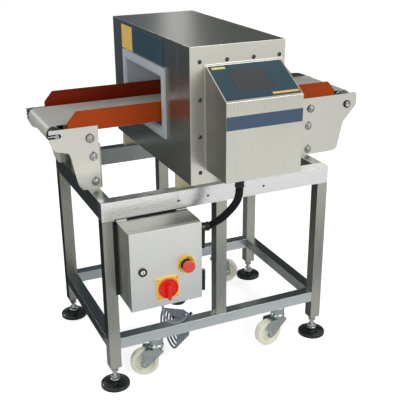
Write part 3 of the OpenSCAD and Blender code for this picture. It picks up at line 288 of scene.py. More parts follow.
PANEL = material("panel_film", (38, 66, 78), 0.4, 0.0, 0.05, 8, 600, relief=0.04, spec=0.25)
SCREEN = material("screen_glass", (50, 52, 55), 0.22, 0.0, 0.05, 6, 300, relief=0.01, rough_spread=0.03,
                  spec=0.35)
STRIPE = material("stripe_film", (58, 80, 104), 0.4, 0.0, 0.05, 10, 600, ALONG_X, relief=0.05)
BANNER = material("banner_film", (42, 67, 79), 0.4, 0.0, 0.06, 10, 600, relief=0.04)
YELLOW_FILM = material("label_yellow", (232, 190, 96), 0.45, 0.0, 0.06, 20, 500, relief=0.04)
TAG_CREAM = material("tag_cream", (226, 208, 130), 0.45, 0.0, 0.08, 90, 500, relief=0.04)
RED = material("moulded_red", (226, 26, 18), 0.36, 0.0, 0.06, 40, 500, relief=0.05, spec=0.4)
RED_SOFT = material("mushroom_red", (222, 66, 62), 0.42, 0.0, 0.06, 50, 600, relief=0.1)
AMBER = material("moulded_amber", (250, 198, 76), 0.4, 0.0, 0.06, 40, 500, relief=0.05)
YELLOW = material("moulded_yellow", (240, 198, 34), 0.4, 0.0, 0.06, 50, 500, relief=0.05)
PRINT = material("print_black", (30, 28, 24), 0.5, 0.0, 0.2, 80, 500)
GUIDE = material("guide_board", (164, 62, 8), 0.45, 0.0, 0.1, 7, 500, ALONG_X, relief=0.08, spec=0.16)

# Two colours along Y: the switch plate and the stop's collar are black behind the door's sheet,
# and the guides' board, bright on the near one, is painted deep red on the far one as painted shade
BEHIND_DOOR, BEHIND_TONE = (-0.3115, -0.3105), (22, 23, 24)
FAR_GUIDE, FAR_GUIDE_SHADE = (0.10, 0.12), (118, 30, 4)
AMBER = two_tone(AMBER, BEHIND_TONE, *BEHIND_DOOR)
YELLOW = two_tone(YELLOW, BEHIND_TONE, *BEHIND_DOOR)
GUIDE = two_tone(GUIDE, FAR_GUIDE_SHADE, *FAR_GUIDE)


NODE_FINISH = {
    "middle_legs": STEEL_Z, "top_rail_front": STEEL_X_LIT, "top_rail_rear": STEEL_Y_SHADED, "top_side_rails": STEEL_Y_SHADED,
    "bottom_long_rails": STEEL_LOW, "bottom_side_rails": STEEL_Y_SHADED, "head_blocks": BLOCK, "castor_stems": ZINC,
    "head_shell": COVER_Z, "head_front_cover": COVER_Z, "tunnel_liner": LINER, "tunnel_frames": LINER,
    "search_coils": COPPER, "console_housing": SHEET_Z, "console_panel": PANEL, "cable_glands": RUBBER,
    "box_body": SHEET_X, "box_door": DOOR_Z, "box_chassis": GALVANISED, "box_hinges": RUBBER,
    "switch_plate": AMBER, "switch_handle": RED, "estop_button": RED_SOFT, "estop_collar": YELLOW,
    "cam_lock": RUBBER, "buzzer": RUBBER, "slider_bed": SHEET_X, "belt": BELT, "tail_roller": BOLT,
    "drive_drum": BOLT, "return_roller_tail": BOLT, "return_roller_drive": BOLT, "roller_shafts": BOLT,
    "side_plates": PLATE, "side_guides": GUIDE, "conveyor_stands": STEEL_Z, "cord_plug": RUBBER,
}
for place in NAMES:
    NODE_FINISH["leg_" + place] = STEEL_Z
    NODE_FINISH["foot_stem_" + place] = ZINC
    NODE_FINISH["foot_pad_" + place] = PAD
    NODE_FINISH["castor_fork_" + place] = ZINC
    NODE_FINISH["castor_wheel_" + place] = CREAM

CREASE_FREE = ("cord_plug", "side_plates")  # their own edges stay as they are
EDGE_WIDTH, EDGE_ANGLE, WELD_REACH, EVEN_WEIGHT = 0.9, 40, 0.00002, 80
BEVEL_WIDTH = {"head_shell": 1.2, "head_front_cover": 1.2, "console_housing": 0.8, "box_body": 1.2,
               "box_door": 1.8, "side_guides": 0.7, "belt": 0.4, "console_panel": 0.4, "switch_plate": 1.2}


def dress_nodes():
    """Gives each CAD node its finish and a fine rounded edge."""
    for name, finish in NODE_FINISH.items():
        node = frame["nodes"][name]
        node.data.materials.clear()
        node.data.materials.append(finish)
        if name in CREASE_FREE:
            continue
        weld = node.modifiers.new("weld", "WELD")
        weld.merge_threshold = WELD_REACH
        bevel = node.modifiers.new("edge", "BEVEL")
        bevel.width = BEVEL_WIDTH.get(name, EDGE_WIDTH) / 1000
        bevel.segments = 2
        bevel.limit_method, bevel.angle_limit = "ANGLE", math.radians(EDGE_ANGLE)
        even = node.modifiers.new("even", "WEIGHTED_NORMAL")
        even.mode, even.weight, even.keep_sharp = "FACE_AREA_WITH_ANGLE", EVEN_WEIGHT, False


dress_nodes()


# Meshes

TO_FRONT, TO_BACK, UP = (0, -1, 0), (0, 1, 0), (0, 0, 1)
NEARLY_UPRIGHT = 0.9  # from here on an axis takes its second direction from X and not from Z


def add(name, mesh, finish, body, smooth=True):
    """One piece of the scene, with the body that it rides on, if it has one."""
    piece = bpy.data.objects.new(name, mesh)
    bpy.context.scene.collection.objects.link(piece)
    mesh.materials.append(finish)
    if smooth:
        mesh.polygons.foreach_set("use_smooth", [True] * len(mesh.polygons))
    if body:
        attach(piece, body)
    return piece


def soften(piece, width, angle):
    """Rounds the edges sharper than an angle."""
    bevel = piece.modifiers.new("edge", "BEVEL")
    bevel.width, bevel.segments = width / 1000, 2
    bevel.limit_method, bevel.angle_limit = "ANGLE", math.radians(angle)
    bevel.harden_normals = True


def mesh_of(name, points, faces):
    mesh = bpy.data.meshes.new(name)
    mesh.from_pydata([tuple(p) for p in points], [], faces)
    mesh.validate()
    mesh.update()
    return mesh


def basis(axis):
    """Two directions square to an axis."""
    axis = Vector(axis).normalized()
    side = axis.cross(Vector(UP) if abs(axis.z) < NEARLY_UPRIGHT else Vector((1, 0, 0))).normalized()
    return side, axis.cross(side), axis


def revolve(name, place, axis, profile, sides, turn=0.0, ring=False):
    """A turned form from pairs of distance along the axis and radius, in mm. A ring has a bore."""
    side, other, along = basis(axis)
    centre = at(*place)
    points, faces = [], []
    for reach, radius in profile:
        for k in range(sides):
            a = 2 * math.pi * k / sides + turn
            points.append(centre + along * reach / 1000
                          + (side * math.cos(a) + other * math.sin(a)) * radius / 1000)
    for i in range(len(profile) - 1):
        for k in range(sides):
            n = (k + 1) % sides
            faces.append((i * sides + k, i * sides + n, (i + 1) * sides + n, (i + 1) * sides + k))
    last = (len(profile) - 1) * sides
    if ring:
        faces += [(last + k, last + (k + 1) % sides, (k + 1) % sides, k) for k in range(sides)]
    else:
        faces += [tuple(range(sides))[::-1], tuple(last + k for k in range(sides))]
    return mesh_of(name, points, faces)


def upright_rect(y, x0, x1, z0, z1):
    return [(x0, y, z0), (x1, y, z0), (x1, y, z1), (x0, y, z1)]


def slab(name, corners, thickness):
    """A flat sheet from its corners in mm, thickened along its own normal."""
    pts = [at(*c) for c in corners]
    normal = (pts[1] - pts[0]).cross(pts[2] - pts[1]).normalized() * thickness / 1000
    n = len(pts)
    faces = [tuple(range(n))[::-1], tuple(range(n, 2 * n))]
    faces += [(i, (i + 1) % n, n + (i + 1) % n, n + i) for i in range(n)]
    return mesh_of(name, pts + [p + normal for p in pts], faces)


def joined(name, meshes):
    """One mesh from several."""
    whole = bmesh.new()
    for mesh in meshes:
        whole.from_mesh(mesh)
        bpy.data.meshes.remove(mesh)
    out = bpy.data.meshes.new(name)
    whole.to_mesh(out)
    whole.free()
    return out


# Cords: routes repeat the source's points

CORD_POINTS = [
    (-246, -344, 323.6), (-246, -344, 312), (-245, -342, 296), (-239, -337, 274), (-227, -327, 252),
    (-211, -312, 230), (-187, -297, 211), (-160, -281, 198), (-138, -266, 193.5), (-122, -252, 193.5),
    (-112, -240, 193.5), (-106, -224, 188.5), (-103, -211, 180.5), (-102, -201, 176.8), (-102, -190.9, 176)]
TAIL_POINTS = [
    (-154, -85, 100.1), (-154, -85, 90), (-154, -85, 78), (-154, -85, 66), (-154, -85, 54.3),
    (-155.2, -87.1, 38.8), (-158.8, -93.3, 24.9), (-164.3, -102.8, 13.8), (-171.3, -114.9, 6.7),
    (-179, -128.3, 4.3), (-186.2, -137.6, 5.3), (-195.5, -144.8, 7.8), (-206.3, -149.3, 10.7),
    (-218, -150.8, 13.2), (-224, -150.8, 14), (-230, -150.8, 14.3)]
COIL_TURNS, COIL_STEPS = 6.25, 24
COIL_X, COIL_PITCH, COIL_Y, COIL_Z = -102, 8.32, -235, 176
COIL_RADII = (45, 75)
CORD_DIAMETER, CORD_FINENESS = 8, 3
CONDUIT_POINTS = [
    (-17, -440, 754.5), (-17, -440, 734), (-16, -436, 708), (-15, -424, 682), (-18, -407, 657),
    (-28, -390, 631), (-44, -374, 606), (-63, -361, 588), (-83, -355, 577.2), (-104.5, -355, 577)]
CONDUIT_DIAMETER, CONDUIT_PITCH = 25, 5  # over the ribs, whose roots clear the source's 21 mm solid
CONDUIT_SIDES, CONDUIT_FINENESS = 28, 24
RIB_STEPS, RIB_FULLNESS, ROOT_SHARE = 8, 1.6, 0.86  # the fuller the rib, the wider its flat crest
COLLAR = [(0, 12), (0, 14.4), (1, 15.4), (5, 15.4), (6, 14.2), (15, 14.2), (16, 15.4), (20, 15.4),
          (21.5, 14), (21.5, 12)]
CONDUIT_ENDS = (((-17, -440, 752), (0, 0, -1)), ((-106, -355, 577), (1, 0, 0)))


def smooth_route(points, steps):
    """A smooth curve through the points, with this many steps between two of them."""
    out = []
    pts = [Vector(p) for p in points]
    for i in range(len(pts) - 1):
        a, b, c, d = pts[max(i - 1, 0)], pts[i], pts[i + 1], pts[min(i + 2, len(pts) - 1)]
        for k in range(steps):
            t = k / steps
            out.append(0.5 * (2 * b + (c - a) * t + (2 * a - 5 * b + 4 * c - d) * t * t
                              + (3 * b - a - 3 * c + d) * t ** 3))
    return out + [pts[-1]]


def coil_route():
    """Loops that hang from the rail, each one wider than the last and further along it."""
    out = []
    small, large = COIL_RADII
    for i in range(int(COIL_TURNS * COIL_STEPS) + 1):
        t = i / COIL_STEPS
        r = small + (large - small) * t / COIL_TURNS
        a = 2 * math.pi * t
        x, y, z = COIL_X - COIL_PITCH * t, COIL_Y + r + r * math.sin(a), COIL_Z - r + r * math.cos(a)
        out.append(Vector((x, y, z)))
    return out


def curve_piece(name, route, diameter, finish, body):
    data = bpy.data.curves.new(name, "CURVE")
    data.dimensions = "3D"
    data.bevel_depth, data.bevel_resolution, data.use_fill_caps = diameter / 2000, 5, True
    spline = data.splines.new("POLY")
    spline.points.add(len(route) - 1)
    for point, place in zip(spline.points, route):
        point.co = (*at(*place), 1)
    spline.use_smooth = True
    data.materials.append(finish)
    piece = bpy.data.objects.new(name, data)
    bpy.context.scene.collection.objects.link(piece)
    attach(piece, body)
    return piece


def power_cord():
    lead, tail = smooth_route(CORD_POINTS, CORD_FINENESS), smooth_route(TAIL_POINTS, CORD_FINENESS)
    route = lead[:-1] + coil_route() + tail[1:]
    piece = curve_piece("power_cord_lead", route, CORD_DIAMETER, CORD, "machine")
    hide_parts("power_cord", "cord_coil")


def conduit_hose():
    """The corrugated hose: round ribs and roots swept along the route, with a collar at each end."""
    route = smooth_route(CONDUIT_POINTS, CONDUIT_FINENESS)
    marks = [0.0]
    for a, b in zip(route, route[1:]):
        marks.append(marks[-1] + (b - a).length)
    total, sides = marks[-1], CONDUIT_SIDES
    steps = int(total / CONDUIT_PITCH) * RIB_STEPS
    points, faces = [], []
    j = 0
    for i in range(steps + 1):
        s = total * i / steps
        while j < len(route) - 2 and marks[j + 1] < s:
            j += 1
        t = (s - marks[j]) / (marks[j + 1] - marks[j])
        centre = route[j].lerp(route[j + 1], t)
        ahead = route[min(j + 2, len(route) - 1)] - route[max(j - 1, 0)]
        side, other, _ = basis(ahead)
        wave = 0.5 - 0.5 * math.cos(2 * math.pi * i / RIB_STEPS)
        r = CONDUIT_DIAMETER / 2 * (ROOT_SHARE + (1 - ROOT_SHARE) * min(1.0, RIB_FULLNESS * wave))
        for k in range(sides):
            a = 2 * math.pi * k / sides
            points.append(at(*(centre + (side * math.cos(a) + other * math.sin(a)) * r)))
    for i in range(steps):
        for k in range(sides):
            n = (k + 1) % sides
            faces.append((i * sides + k, i * sides + n, (i + 1) * sides + n, (i + 1) * sides + k))
    piece = add("conduit_hose", mesh_of("conduit_hose", points, faces), HOSE, "machine")
    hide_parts("conduit")
    collars = [revolve("c", place, axis, COLLAR, 40, ring=True) for place, axis in CONDUIT_ENDS]
    add("conduit_collars", joined("conduit_collars", collars), RUBBER, "machine")


power_cord()
conduit_hose()


# Small fasteners: profiles are pairs of height and radius in mm, the washer's radii shares of the hexagon

WASHER = [(0, 0.82), (1.4, 0.82), (1.6, 0.78)]
HEAD_CHAMFER, HEAD_TOP = 0.8, 0.86
# Flat dark rings round the plates' bolts and shafts are painted shadow
SHADOW_RING = [(0, 0), (0.5, 0), (0.7, -0.6)]  # what is added to the ring's own radius
CAP_LIP, CAP_TOP, CAP_HOLE, CAP_WELL, CAP_DEEP = 1.5, 0.88, 0.55, 0.5, 2.2  # shares of a cap's radius; depth
HOLLOW_END = [(0, 9.5), (3.4, 9.5), (4.2, 8.4), (4.2, 3.4), (3.0, 3.0)]
WELL, WELL_DEEP = [(0, 2.6), (0.1, 2.6)], 2.9


def hex_bolt(place, axis, across, height, turn=0.3):
    """A hexagon head on a washer, chamfered, standing from place along axis."""
    r = across / 2 / math.cos(math.pi / 6)
    washer = revolve("w", place, axis, [(reach, across * share) for reach, share in WASHER], 32)
    profile = [(WASHER[-1][0], r), (height - HEAD_CHAMFER, r), (height, r * HEAD_TOP)]
    head = revolve("h", place, axis, profile, 6, turn)
    return [washer, head]


# A flat dark ring round a bolt or shaft: painted shadow
def shadow_ring(place, axis, radius):
    return revolve("r", place, axis, [(reach, radius + more) for reach, more in SHADOW_RING], 32)


def socket_screw(place, axis, diameter, height):
    """A cap screw with its hexagon recess, as a ring round a dark well."""
    r = diameter / 2
    profile = [(0, r * CAP_LIP), (0.8, r * CAP_LIP), (1.0, r), (height - 0.7, r), (height, r * CAP_TOP),
               (height, r * CAP_HOLE), (height - CAP_DEEP, r * CAP_WELL)]
    return revolve("s", place, axis, profile, 28)


COVER_Y, COVER_SCREW = -372, (9, 5)
COVER_SCREWS = ([(-119, z) for z in (770, 885, 1000, 1115)] + [(x, 1115) for x in (-29, 61, 150)]
                + [(150, 1000)])
TAIL_BOLTS = [(-391, 793.6), (-388, 708)]
DRIVE_BOLTS = [(415.6, 792), (417.4, 704)]
SHAFTS = [(-399, 856), (422.6, 856), (577, 856)]
PLATE_NEAR, PLATE_FAR = -143, 167
SHAFT_NEAR, SHAFT_FAR = PLATE_NEAR - 3, PLATE_FAR + 3
PLATE_BOLT, SHAFT_BOLT, BOLT_RING, SHAFT_RING = (15, 8), (15, 7), 13.8, 14


def fasteners():
    """The cover's screws, and the bolts and shaft ends of the conveyor's end plates; painted shade in the
    sockets, painted shadow round the bolts.
    """
    screws = [socket_screw((x, COVER_Y, z), TO_FRONT, *COVER_SCREW) for x, z in COVER_SCREWS]
    add("cover_screws", joined("cover_screws", screws), SCREW, "machine")
    # Black hexagons deep in the screws' sockets: painted shade in the recesses
    wells = [revolve("w", (x, COVER_Y - WELL_DEEP, z), TO_FRONT, WELL, 6) for x, z in COVER_SCREWS]
    add("cover_screw_well_shade", joined("cover_screw_well_shade", wells), SHADE_BLACK, "machine")
    bolts = []
    rings = []
    for x, z in TAIL_BOLTS + DRIVE_BOLTS:
        bolts += hex_bolt((x, PLATE_NEAR, z), TO_FRONT, *PLATE_BOLT)
        bolts += hex_bolt((x, PLATE_FAR, z), TO_BACK, *PLATE_BOLT, 0.1)
        rings.append(shadow_ring((x, PLATE_NEAR, z), TO_FRONT, BOLT_RING))
        rings.append(shadow_ring((x, PLATE_FAR, z), TO_BACK, BOLT_RING))
    for x, z in SHAFTS:
        rings.append(shadow_ring((x, SHAFT_NEAR, z), TO_FRONT, SHAFT_RING))
        rings.append(shadow_ring((x, SHAFT_FAR, z), TO_BACK, SHAFT_RING))
    add("plate_bolt_shadows", joined("plate_bolt_shadows", rings), SHADE_BLACK, "machine")
    for x, z in SHAFTS[:2]:
        bolts += hex_bolt((x, SHAFT_NEAR, z), TO_FRONT, *SHAFT_BOLT, 0.5)
        bolts += hex_bolt((x, SHAFT_FAR, z), TO_BACK, *SHAFT_BOLT, 0.2)
    drum_x, drum_z = SHAFTS[2]
    bolts.append(revolve("axle", (drum_x, SHAFT_NEAR, drum_z), TO_FRONT, HOLLOW_END, 36))
    add("plate_bolts", joined("plate_bolts", bolts), BOLT, "machine")


fasteners()


# Black hubs between the belt's edges and the plates, with the rollers' fixed shafts through them, and black
# backs behind the plates' slots: their black is painted shade in the gaps beside the belt

HUBS = ((-505, 875, 21.5), (577, 856, 26))
BELT_EDGES = ((-110.5, -1), (134.5, 1))
SLOT_BACK, SLOT_BACK_THICK, SLOT_BACK_Y = (-529, -479, 860, 890), 2, (-136.9, 162.9)


def belt_gap_shade():
    hubs = []
    for x, z, radius in HUBS:
        profile = [(0, 9), (0, radius - 1), (1, radius), (22, radius), (23.5, radius - 1.5), (23.5, 9)]
        hubs += [revolve("h", (x, y, z), (0, way, 0), profile, 40, ring=True) for y, way in BELT_EDGES]
    hubs += [slab("b", upright_rect(y, *SLOT_BACK), SLOT_BACK_THICK) for y in SLOT_BACK_Y]
    add("belt_gap_shade", joined("belt_gap_shade", hubs), RUBBER, "machine")


belt_gap_shade()


# Blank labels, the stripe and the display

FILM, STRIPE_FILM, TAG_FILM = 0.5, 0.3, 0.3
LABEL_X, LABEL_LOW, LABEL_HIGH = -151.4, 1064, 1147
YELLOW_SPAN, BANNER_SPAN = (231, 122), (121.5, -168)
STRIPE_Y, STRIPE_RECT = -512.4, (-99.5, 155.5, 938, 979)


def side_label(name, y0, y1, finish):
    x, z0, z1 = LABEL_X, LABEL_LOW, LABEL_HIGH
    corners = [(x, y0, z0), (x, y0, z1), (x, y1, z1), (x, y1, z0)]
    add(name, slab(name, corners, -FILM), finish, "machine", False)


def labels():
    """Plain films where the machine's print would be."""
    side_label("label_yellow", *YELLOW_SPAN, YELLOW_FILM)
    side_label("label_banner", *BANNER_SPAN, BANNER)
    stripe = slab("console_stripe", upright_rect(STRIPE_Y, *STRIPE_RECT), -STRIPE_FILM)
    add("console_stripe", stripe, STRIPE, "machine", False)


labels()


PANEL_CORNER, PANEL_RUN, PANEL_RISE, PANEL_EDGE = (-95, -512, 1021), 140, 80, 9
PANEL_WIDE, PANEL_MARGIN = 246, 14
WINDOW_START, WINDOW_END, WINDOW_TOP, WINDOW_GAP = 0.2, 0.7, 0.82, 0.5
WINDOW_LIFT, TAG_LIFT = 0.85, 1.55
UPPER_TAG = (8, 52, 16, 7)  # across from the panel's left edge, and down from its top
LOWER_TAG = (92, 4, 5, 13)  # back from its right edge, and up from its low edge


def panel_point(across, up, lift):
    """A point on the slanted panel: across and up in mm from its low left corner."""
    slope = math.atan2(PANEL_RISE, PANEL_RUN)
    x, y, z = PANEL_CORNER
    y += (PANEL_EDGE + up) * math.cos(slope) - lift * math.sin(slope)
    z += (PANEL_EDGE + up) * math.sin(slope) + lift * math.cos(slope)
    return (x + across, y, z)


def panel_sheet(name, x0, x1, u0, u1, lift, thickness, finish):
    corners = [panel_point(x, u, lift) for x, u in ((x0, u0), (x1, u0), (x1, u1), (x0, u1))]
    add(name, slab(name, corners, thickness), finish, "machine", False)


def console_details():
    run = math.hypot(PANEL_RUN, PANEL_RISE) - PANEL_MARGIN
    x0, x1 = PANEL_WIDE * WINDOW_START + WINDOW_GAP, PANEL_WIDE * WINDOW_END - WINDOW_GAP
    u0, u1 = run * WINDOW_START + WINDOW_GAP, run * WINDOW_TOP - WINDOW_GAP
    panel_sheet("display", x0, x1, u0, u1, WINDOW_LIFT, FILM, SCREEN)
    start, end, low, high = UPPER_TAG
    panel_sheet("tag_upper", start, end, run - low, run - high, TAG_LIFT, TAG_FILM, TAG_CREAM)
    start, end, low, high = LOWER_TAG
    panel_sheet("tag_lower", PANEL_WIDE - start, PANEL_WIDE - end, low, high, TAG_LIFT, TAG_FILM, YELLOW_FILM)


console_details()


# Control box: the stop's sleeve and arrows, switch scale and knob, lock core, door seal, hinge sleeves

DOOR_Y = -404
SWITCH_FACE, LOCK_FACE, LOCK_SLOT_Y = DOOR_Y - 6, DOOR_Y - 3.2, DOOR_Y - 4.78
PRINT_LIFT, ARC_STEPS = 0.15, 24
STOP_X, STOP_Z = -185.3, 484
SLEEVE_Y, RING_Y = DOOR_Y - 1.6, DOOR_Y - 1.5
SLEEVE = [(0, 15.2), (0, 20), (1.2, 20), (2.0, 18.8), (8.4, 18.3), (9.0, 17.5), (9.0, 15.2)]
ARROW_STARTS, ARROW_SWEEP, ARROW_RADIUS, ARROW_WIDTH = (20, 140, 260), 52, 24, 1.6
ARROW_SIZE, ARROW_HALF = 5, 0.6
SWITCH_X, SWITCH_Z = -251.6, 416
SCALE_RADIUS, SCALE_WIDTH, SCALE_ANGLES = 35.2, 0.9, (30, 60, 90, 120, 150)
TICK = ((33.6, -0.45), (36.8, -0.45), (36.8, 0.45), (33.6, 0.45))  # radius and distance to the side
PLATE_SCREW, PLATE_SCREW_OUT = (3.6, 1.4), (-31.5, 31.5)
KNOB_Y = SWITCH_FACE - 0.3
KNOB_DISC = [(0, 31), (0.4, 32.4), (2.0, 33), (7.0, 33), (7.8, 32.4), (8.0, 31.4), (7.6, 29.6),
             (4.6, 27.6), (4.2, 26), (4.2, 6)]
GRIP_ENDS = ((SWITCH_Z + 9, 8.2, 0), (SWITCH_Z - 32, 5.2, math.pi))  # height, radius, start of the arc
GRIP_STEPS, GRIP_SHRINK = 12, 0.25  # how much less its length narrows than its width
GRIP_LAYERS = ((4.0, 1.0), (14.0, 1.0), (18.6, 0.86), (19.6, 0.7))  # reach and share of the outline
LOCK_X, LOCK_Z = -332.6, 486
LOCK_CORE = [(0, 7.9), (1.0, 7.9), (1.5, 7.2), (1.5, 1.0)]
LOCK_SLOT, LOCK_SLOT_FILM = (1.1, 5.4), 0.06


def ring_arc(centre, radius, width, start, end):
    """A flat curved mark on a plane that faces -Y, with its angles in degrees."""
    x0, y0, z0 = centre
    points, faces = [], []
    for i in range(ARC_STEPS + 1):
        a = math.radians(start + (end - start) * i / ARC_STEPS)
        for r in (radius - width / 2, radius + width / 2):
            points.append(at(x0 + r * math.cos(a), y0 - PRINT_LIFT, z0 + r * math.sin(a)))
    for i in range(ARC_STEPS):
        faces.append((2 * i, 2 * i + 2, 2 * i + 3, 2 * i + 1))
    return mesh_of("m", points, faces)


def arrow_head(centre, radius, angle, size):
    """A flat triangle that points along the ring, counterclockwise."""
    a = math.radians(angle)
    x0, y0, z0 = centre
    pts = []
    for along, out in ((0, -size * ARROW_HALF), (0, size * ARROW_HALF), (size, 0)):
        r = radius + out
        x, z = x0 + r * math.cos(a) - math.sin(a) * along, z0 + r * math.sin(a) + math.cos(a) * along
        pts.append(at(x, y0 - PRINT_LIFT, z))
    return mesh_of("a", pts, [(0, 1, 2), (0, 2, 1)])


def stop_details():
    sleeve = revolve("sleeve", (STOP_X, SLEEVE_Y, STOP_Z), TO_FRONT, SLEEVE, 48, ring=True)
    add("stop_collar_sleeve", sleeve, RUBBER, "door")
    centre = (STOP_X, RING_Y, STOP_Z)
    marks = []
    for start in ARROW_STARTS:
        marks.append(ring_arc(centre, ARROW_RADIUS, ARROW_WIDTH, start, start + ARROW_SWEEP))
        marks.append(arrow_head(centre, ARROW_RADIUS, start + ARROW_SWEEP, ARROW_SIZE))
    add("stop_ring_arrows", joined("stop_ring_arrows", marks), PRINT, "door", False)


def switch_details():
    centre = (SWITCH_X, SWITCH_FACE, SWITCH_Z)
    marks = [ring_arc(centre, SCALE_RADIUS, SCALE_WIDTH, SCALE_ANGLES[0], SCALE_ANGLES[-1])]
    for angle in SCALE_ANGLES:
        a = math.radians(angle)
        pts = []
        for r, side in TICK:
            x = SWITCH_X + r * math.cos(a) - side * math.sin(a)
            pts.append(at(x, SWITCH_FACE - PRINT_LIFT, SWITCH_Z + r * math.sin(a) + side * math.cos(a)))
        marks.append(mesh_of("t", pts, [(0, 1, 2, 3)]))
    add("switch_scale", joined("switch_scale", marks), PRINT, "door", False)
    screws = [socket_screw((SWITCH_X + dx, SWITCH_FACE, SWITCH_Z + dz), TO_FRONT, *PLATE_SCREW)
              for dx in PLATE_SCREW_OUT for dz in PLATE_SCREW_OUT]
    add("switch_plate_screws", joined("switch_plate_screws", screws), BOLT, "door")


def switch_knob():
    """The red handle: a dished disc with a raised rim and a tapered pointer grip."""
    disc = revolve("disc", (SWITCH_X, KNOB_Y, SWITCH_Z), TO_FRONT, KNOB_DISC, 72)
    outline = []
    for z, radius, start in GRIP_ENDS:
        for k in range(GRIP_STEPS + 1):
            a = start + math.pi * k / GRIP_STEPS
            outline.append((SWITCH_X + radius * math.cos(a), z + radius * math.sin(a)))
    cx, cz = SWITCH_X, (GRIP_ENDS[0][0] + GRIP_ENDS[1][0]) / 2
    n, last = len(outline), len(GRIP_LAYERS) - 1
    points, faces = [], []
    for reach, grow in GRIP_LAYERS:
        for x, z in outline:
            tall = 1 - (1 - grow) * GRIP_SHRINK
            points.append(at(cx + (x - cx) * grow, KNOB_Y - reach, cz + (z - cz) * tall))
    for i in range(last):
        for k in range(n):
            m = (k + 1) % n
            faces.append((i * n + k, i * n + m, (i + 1) * n + m, (i + 1) * n + k))
    faces.append(tuple(last * n + k for k in range(n)))
    grip = mesh_of("grip", points, faces)
    knob = add("switch_knob", joined("switch_knob", [disc, grip]), RED, "handle")
    soften(knob, 0.5, 40)
    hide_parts("switch_handle")


def lock_details():
    core = revolve("core", (LOCK_X, LOCK_FACE, LOCK_Z), TO_FRONT, LOCK_CORE, 40)
    add("lock_core", core, CORE, "lock")
    wide, tall = LOCK_SLOT
    cut = upright_rect(LOCK_SLOT_Y, LOCK_X - wide, LOCK_X + wide, LOCK_Z - tall, LOCK_Z + tall)
    # The slot is a black film: painted shade where the keyway's hollow would be
    add("lock_slot", slab("slot", cut, -LOCK_SLOT_FILM), SHADE_BLACK, "lock", False)


SEAL_Y, SEAL_THICK = -383.0, 1.1
SEAL_STRIPS = ((-364, -136, 610, 613.5), (-364, -136, 358.5, 362),
               (-364, -360.5, 362, 610), (-139.5, -136, 362, 610))


def door_seal():
    """A foam strip round the opening, on the body's front lip."""
    parts = [slab("s", upright_rect(SEAL_Y, *strip), SEAL_THICK) for strip in SEAL_STRIPS]
    add("door_seal", joined("door_seal", parts), SEAL, "machine", False)


HINGE_SPACING, KNUCKLE_RISE, PIN_IN, PIN_END_RISE = 151, 37.4, 6, 36.6
KNUCKLE = [(0, 6.0), (0.5, 6.5), (35.8, 6.5), (36.4, 6.0)]
PIN_END = [(0, 3.4), (0.9, 3.4), (1.3, 2.6)]


def hinge_sleeves():
    """The door's black knuckles, each with a bright pin end, over the plain ones."""
    low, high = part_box("box_hinges")
    x, y = high[0] * 1000 - PIN_IN + MIDDLE[0], low[1] * 1000 + PIN_IN + MIDDLE[1]
    z = low[2] * 1000 + KNUCKLE_RISE
    sleeves, ends = [], []
    for rise in (0, HINGE_SPACING):
        sleeves.append(revolve("k", (x, y, z + rise), UP, KNUCKLE, 32))
        ends.append(revolve("e", (x, y, z + rise + PIN_END_RISE), UP, PIN_END, 24))
    add("hinge_sleeves", joined("hinge_sleeves", sleeves), RUBBER, "door")
    add("hinge_pin_ends", joined("hinge_pin_ends", ends), BOLT, "door")


hinge_sleeves()
stop_details()
switch_details()
switch_knob()
lock_details()
door_seal()


# Feet: thread, ball seat and two lock nuts

THREADS, THREAD_LOW, THREAD_PITCH, THREAD_RISE, THREAD_FALL = 9, 39, 2.9, 1.0, 1.9
ROOT, CREST, STEM_LOW, STEM_TOP = 7.4, 8.0, 24, 110
SEAT_DISC = [(24, 17.5), (27.5, 17.5), (28.5, 16.6), (28.6, 12)]
SEAT_HEXAGON = [(28.0, 15.2), (29.0, 16.2), (37.0, 16.2), (38.4, 14.4), (38.6, 8.4)]
NUT = [(0, 12.2), (1, 13.8), (8.9, 13.8), (9.9, 12.2)]
NUT_PLACES = ((65.8, 0.5), (55.4, 0.95))  # height and turn


def foot(name, x, y):
    body = "foot_" + name
    threads = []
    for i in range(THREADS):
        z = THREAD_LOW + THREAD_PITCH * i
        threads += [(z, ROOT), (z + THREAD_RISE, CREST), (z + THREAD_FALL, ROOT)]
    place = (x, y, 0)
    stem = revolve("stem", place, UP, [(STEM_LOW, CREST)] + threads + [(STEM_TOP, CREST)], 32)
    disc = revolve("disc", place, UP, SEAT_DISC, 40)
    hexagon = revolve("hex", place, UP, SEAT_HEXAGON, 6, 0.2)
    nuts = [revolve("nut", (x, y, low), UP, NUT, 6, turn) for low, turn in NUT_PLACES]
    whole = joined("foot_screw_" + name, [stem, disc, hexagon] + nuts)
    piece = add("foot_screw_" + name, whole, SCREW_ZINC, body)
    soften(piece, 0.4, 25)
    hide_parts("foot_stem_" + name)


for place, fx, fy in zip(NAMES, FOOT_X, CORNER_Y):
    foot(place, fx, fy)


# Castors: bearing race, full cheeks over the fork's own, and axle bolts

CASTOR_TRAIL, AXLE_Z, CROWN_Z = 41, 54, 109.5
CHEEK_BACK, CHEEK_FRONT, CHEEK_DROP, CHEEK_EYE = -25, 47, 8.5, 15
CHEEK_INNER, CHEEK_SHEET = 23.05, 1.4
EYE_START, EYE_SWEEP, EYE_STEPS = 224, 145.4, 16  # its arc, in degrees from the trail
AXLE_BOLT = (14, 6.5, 0.4)
RACE = [(109, 24), (110, 25.4), (113, 26.6), (119, 26.6), (123, 25.4), (126, 21), (129, 17)]


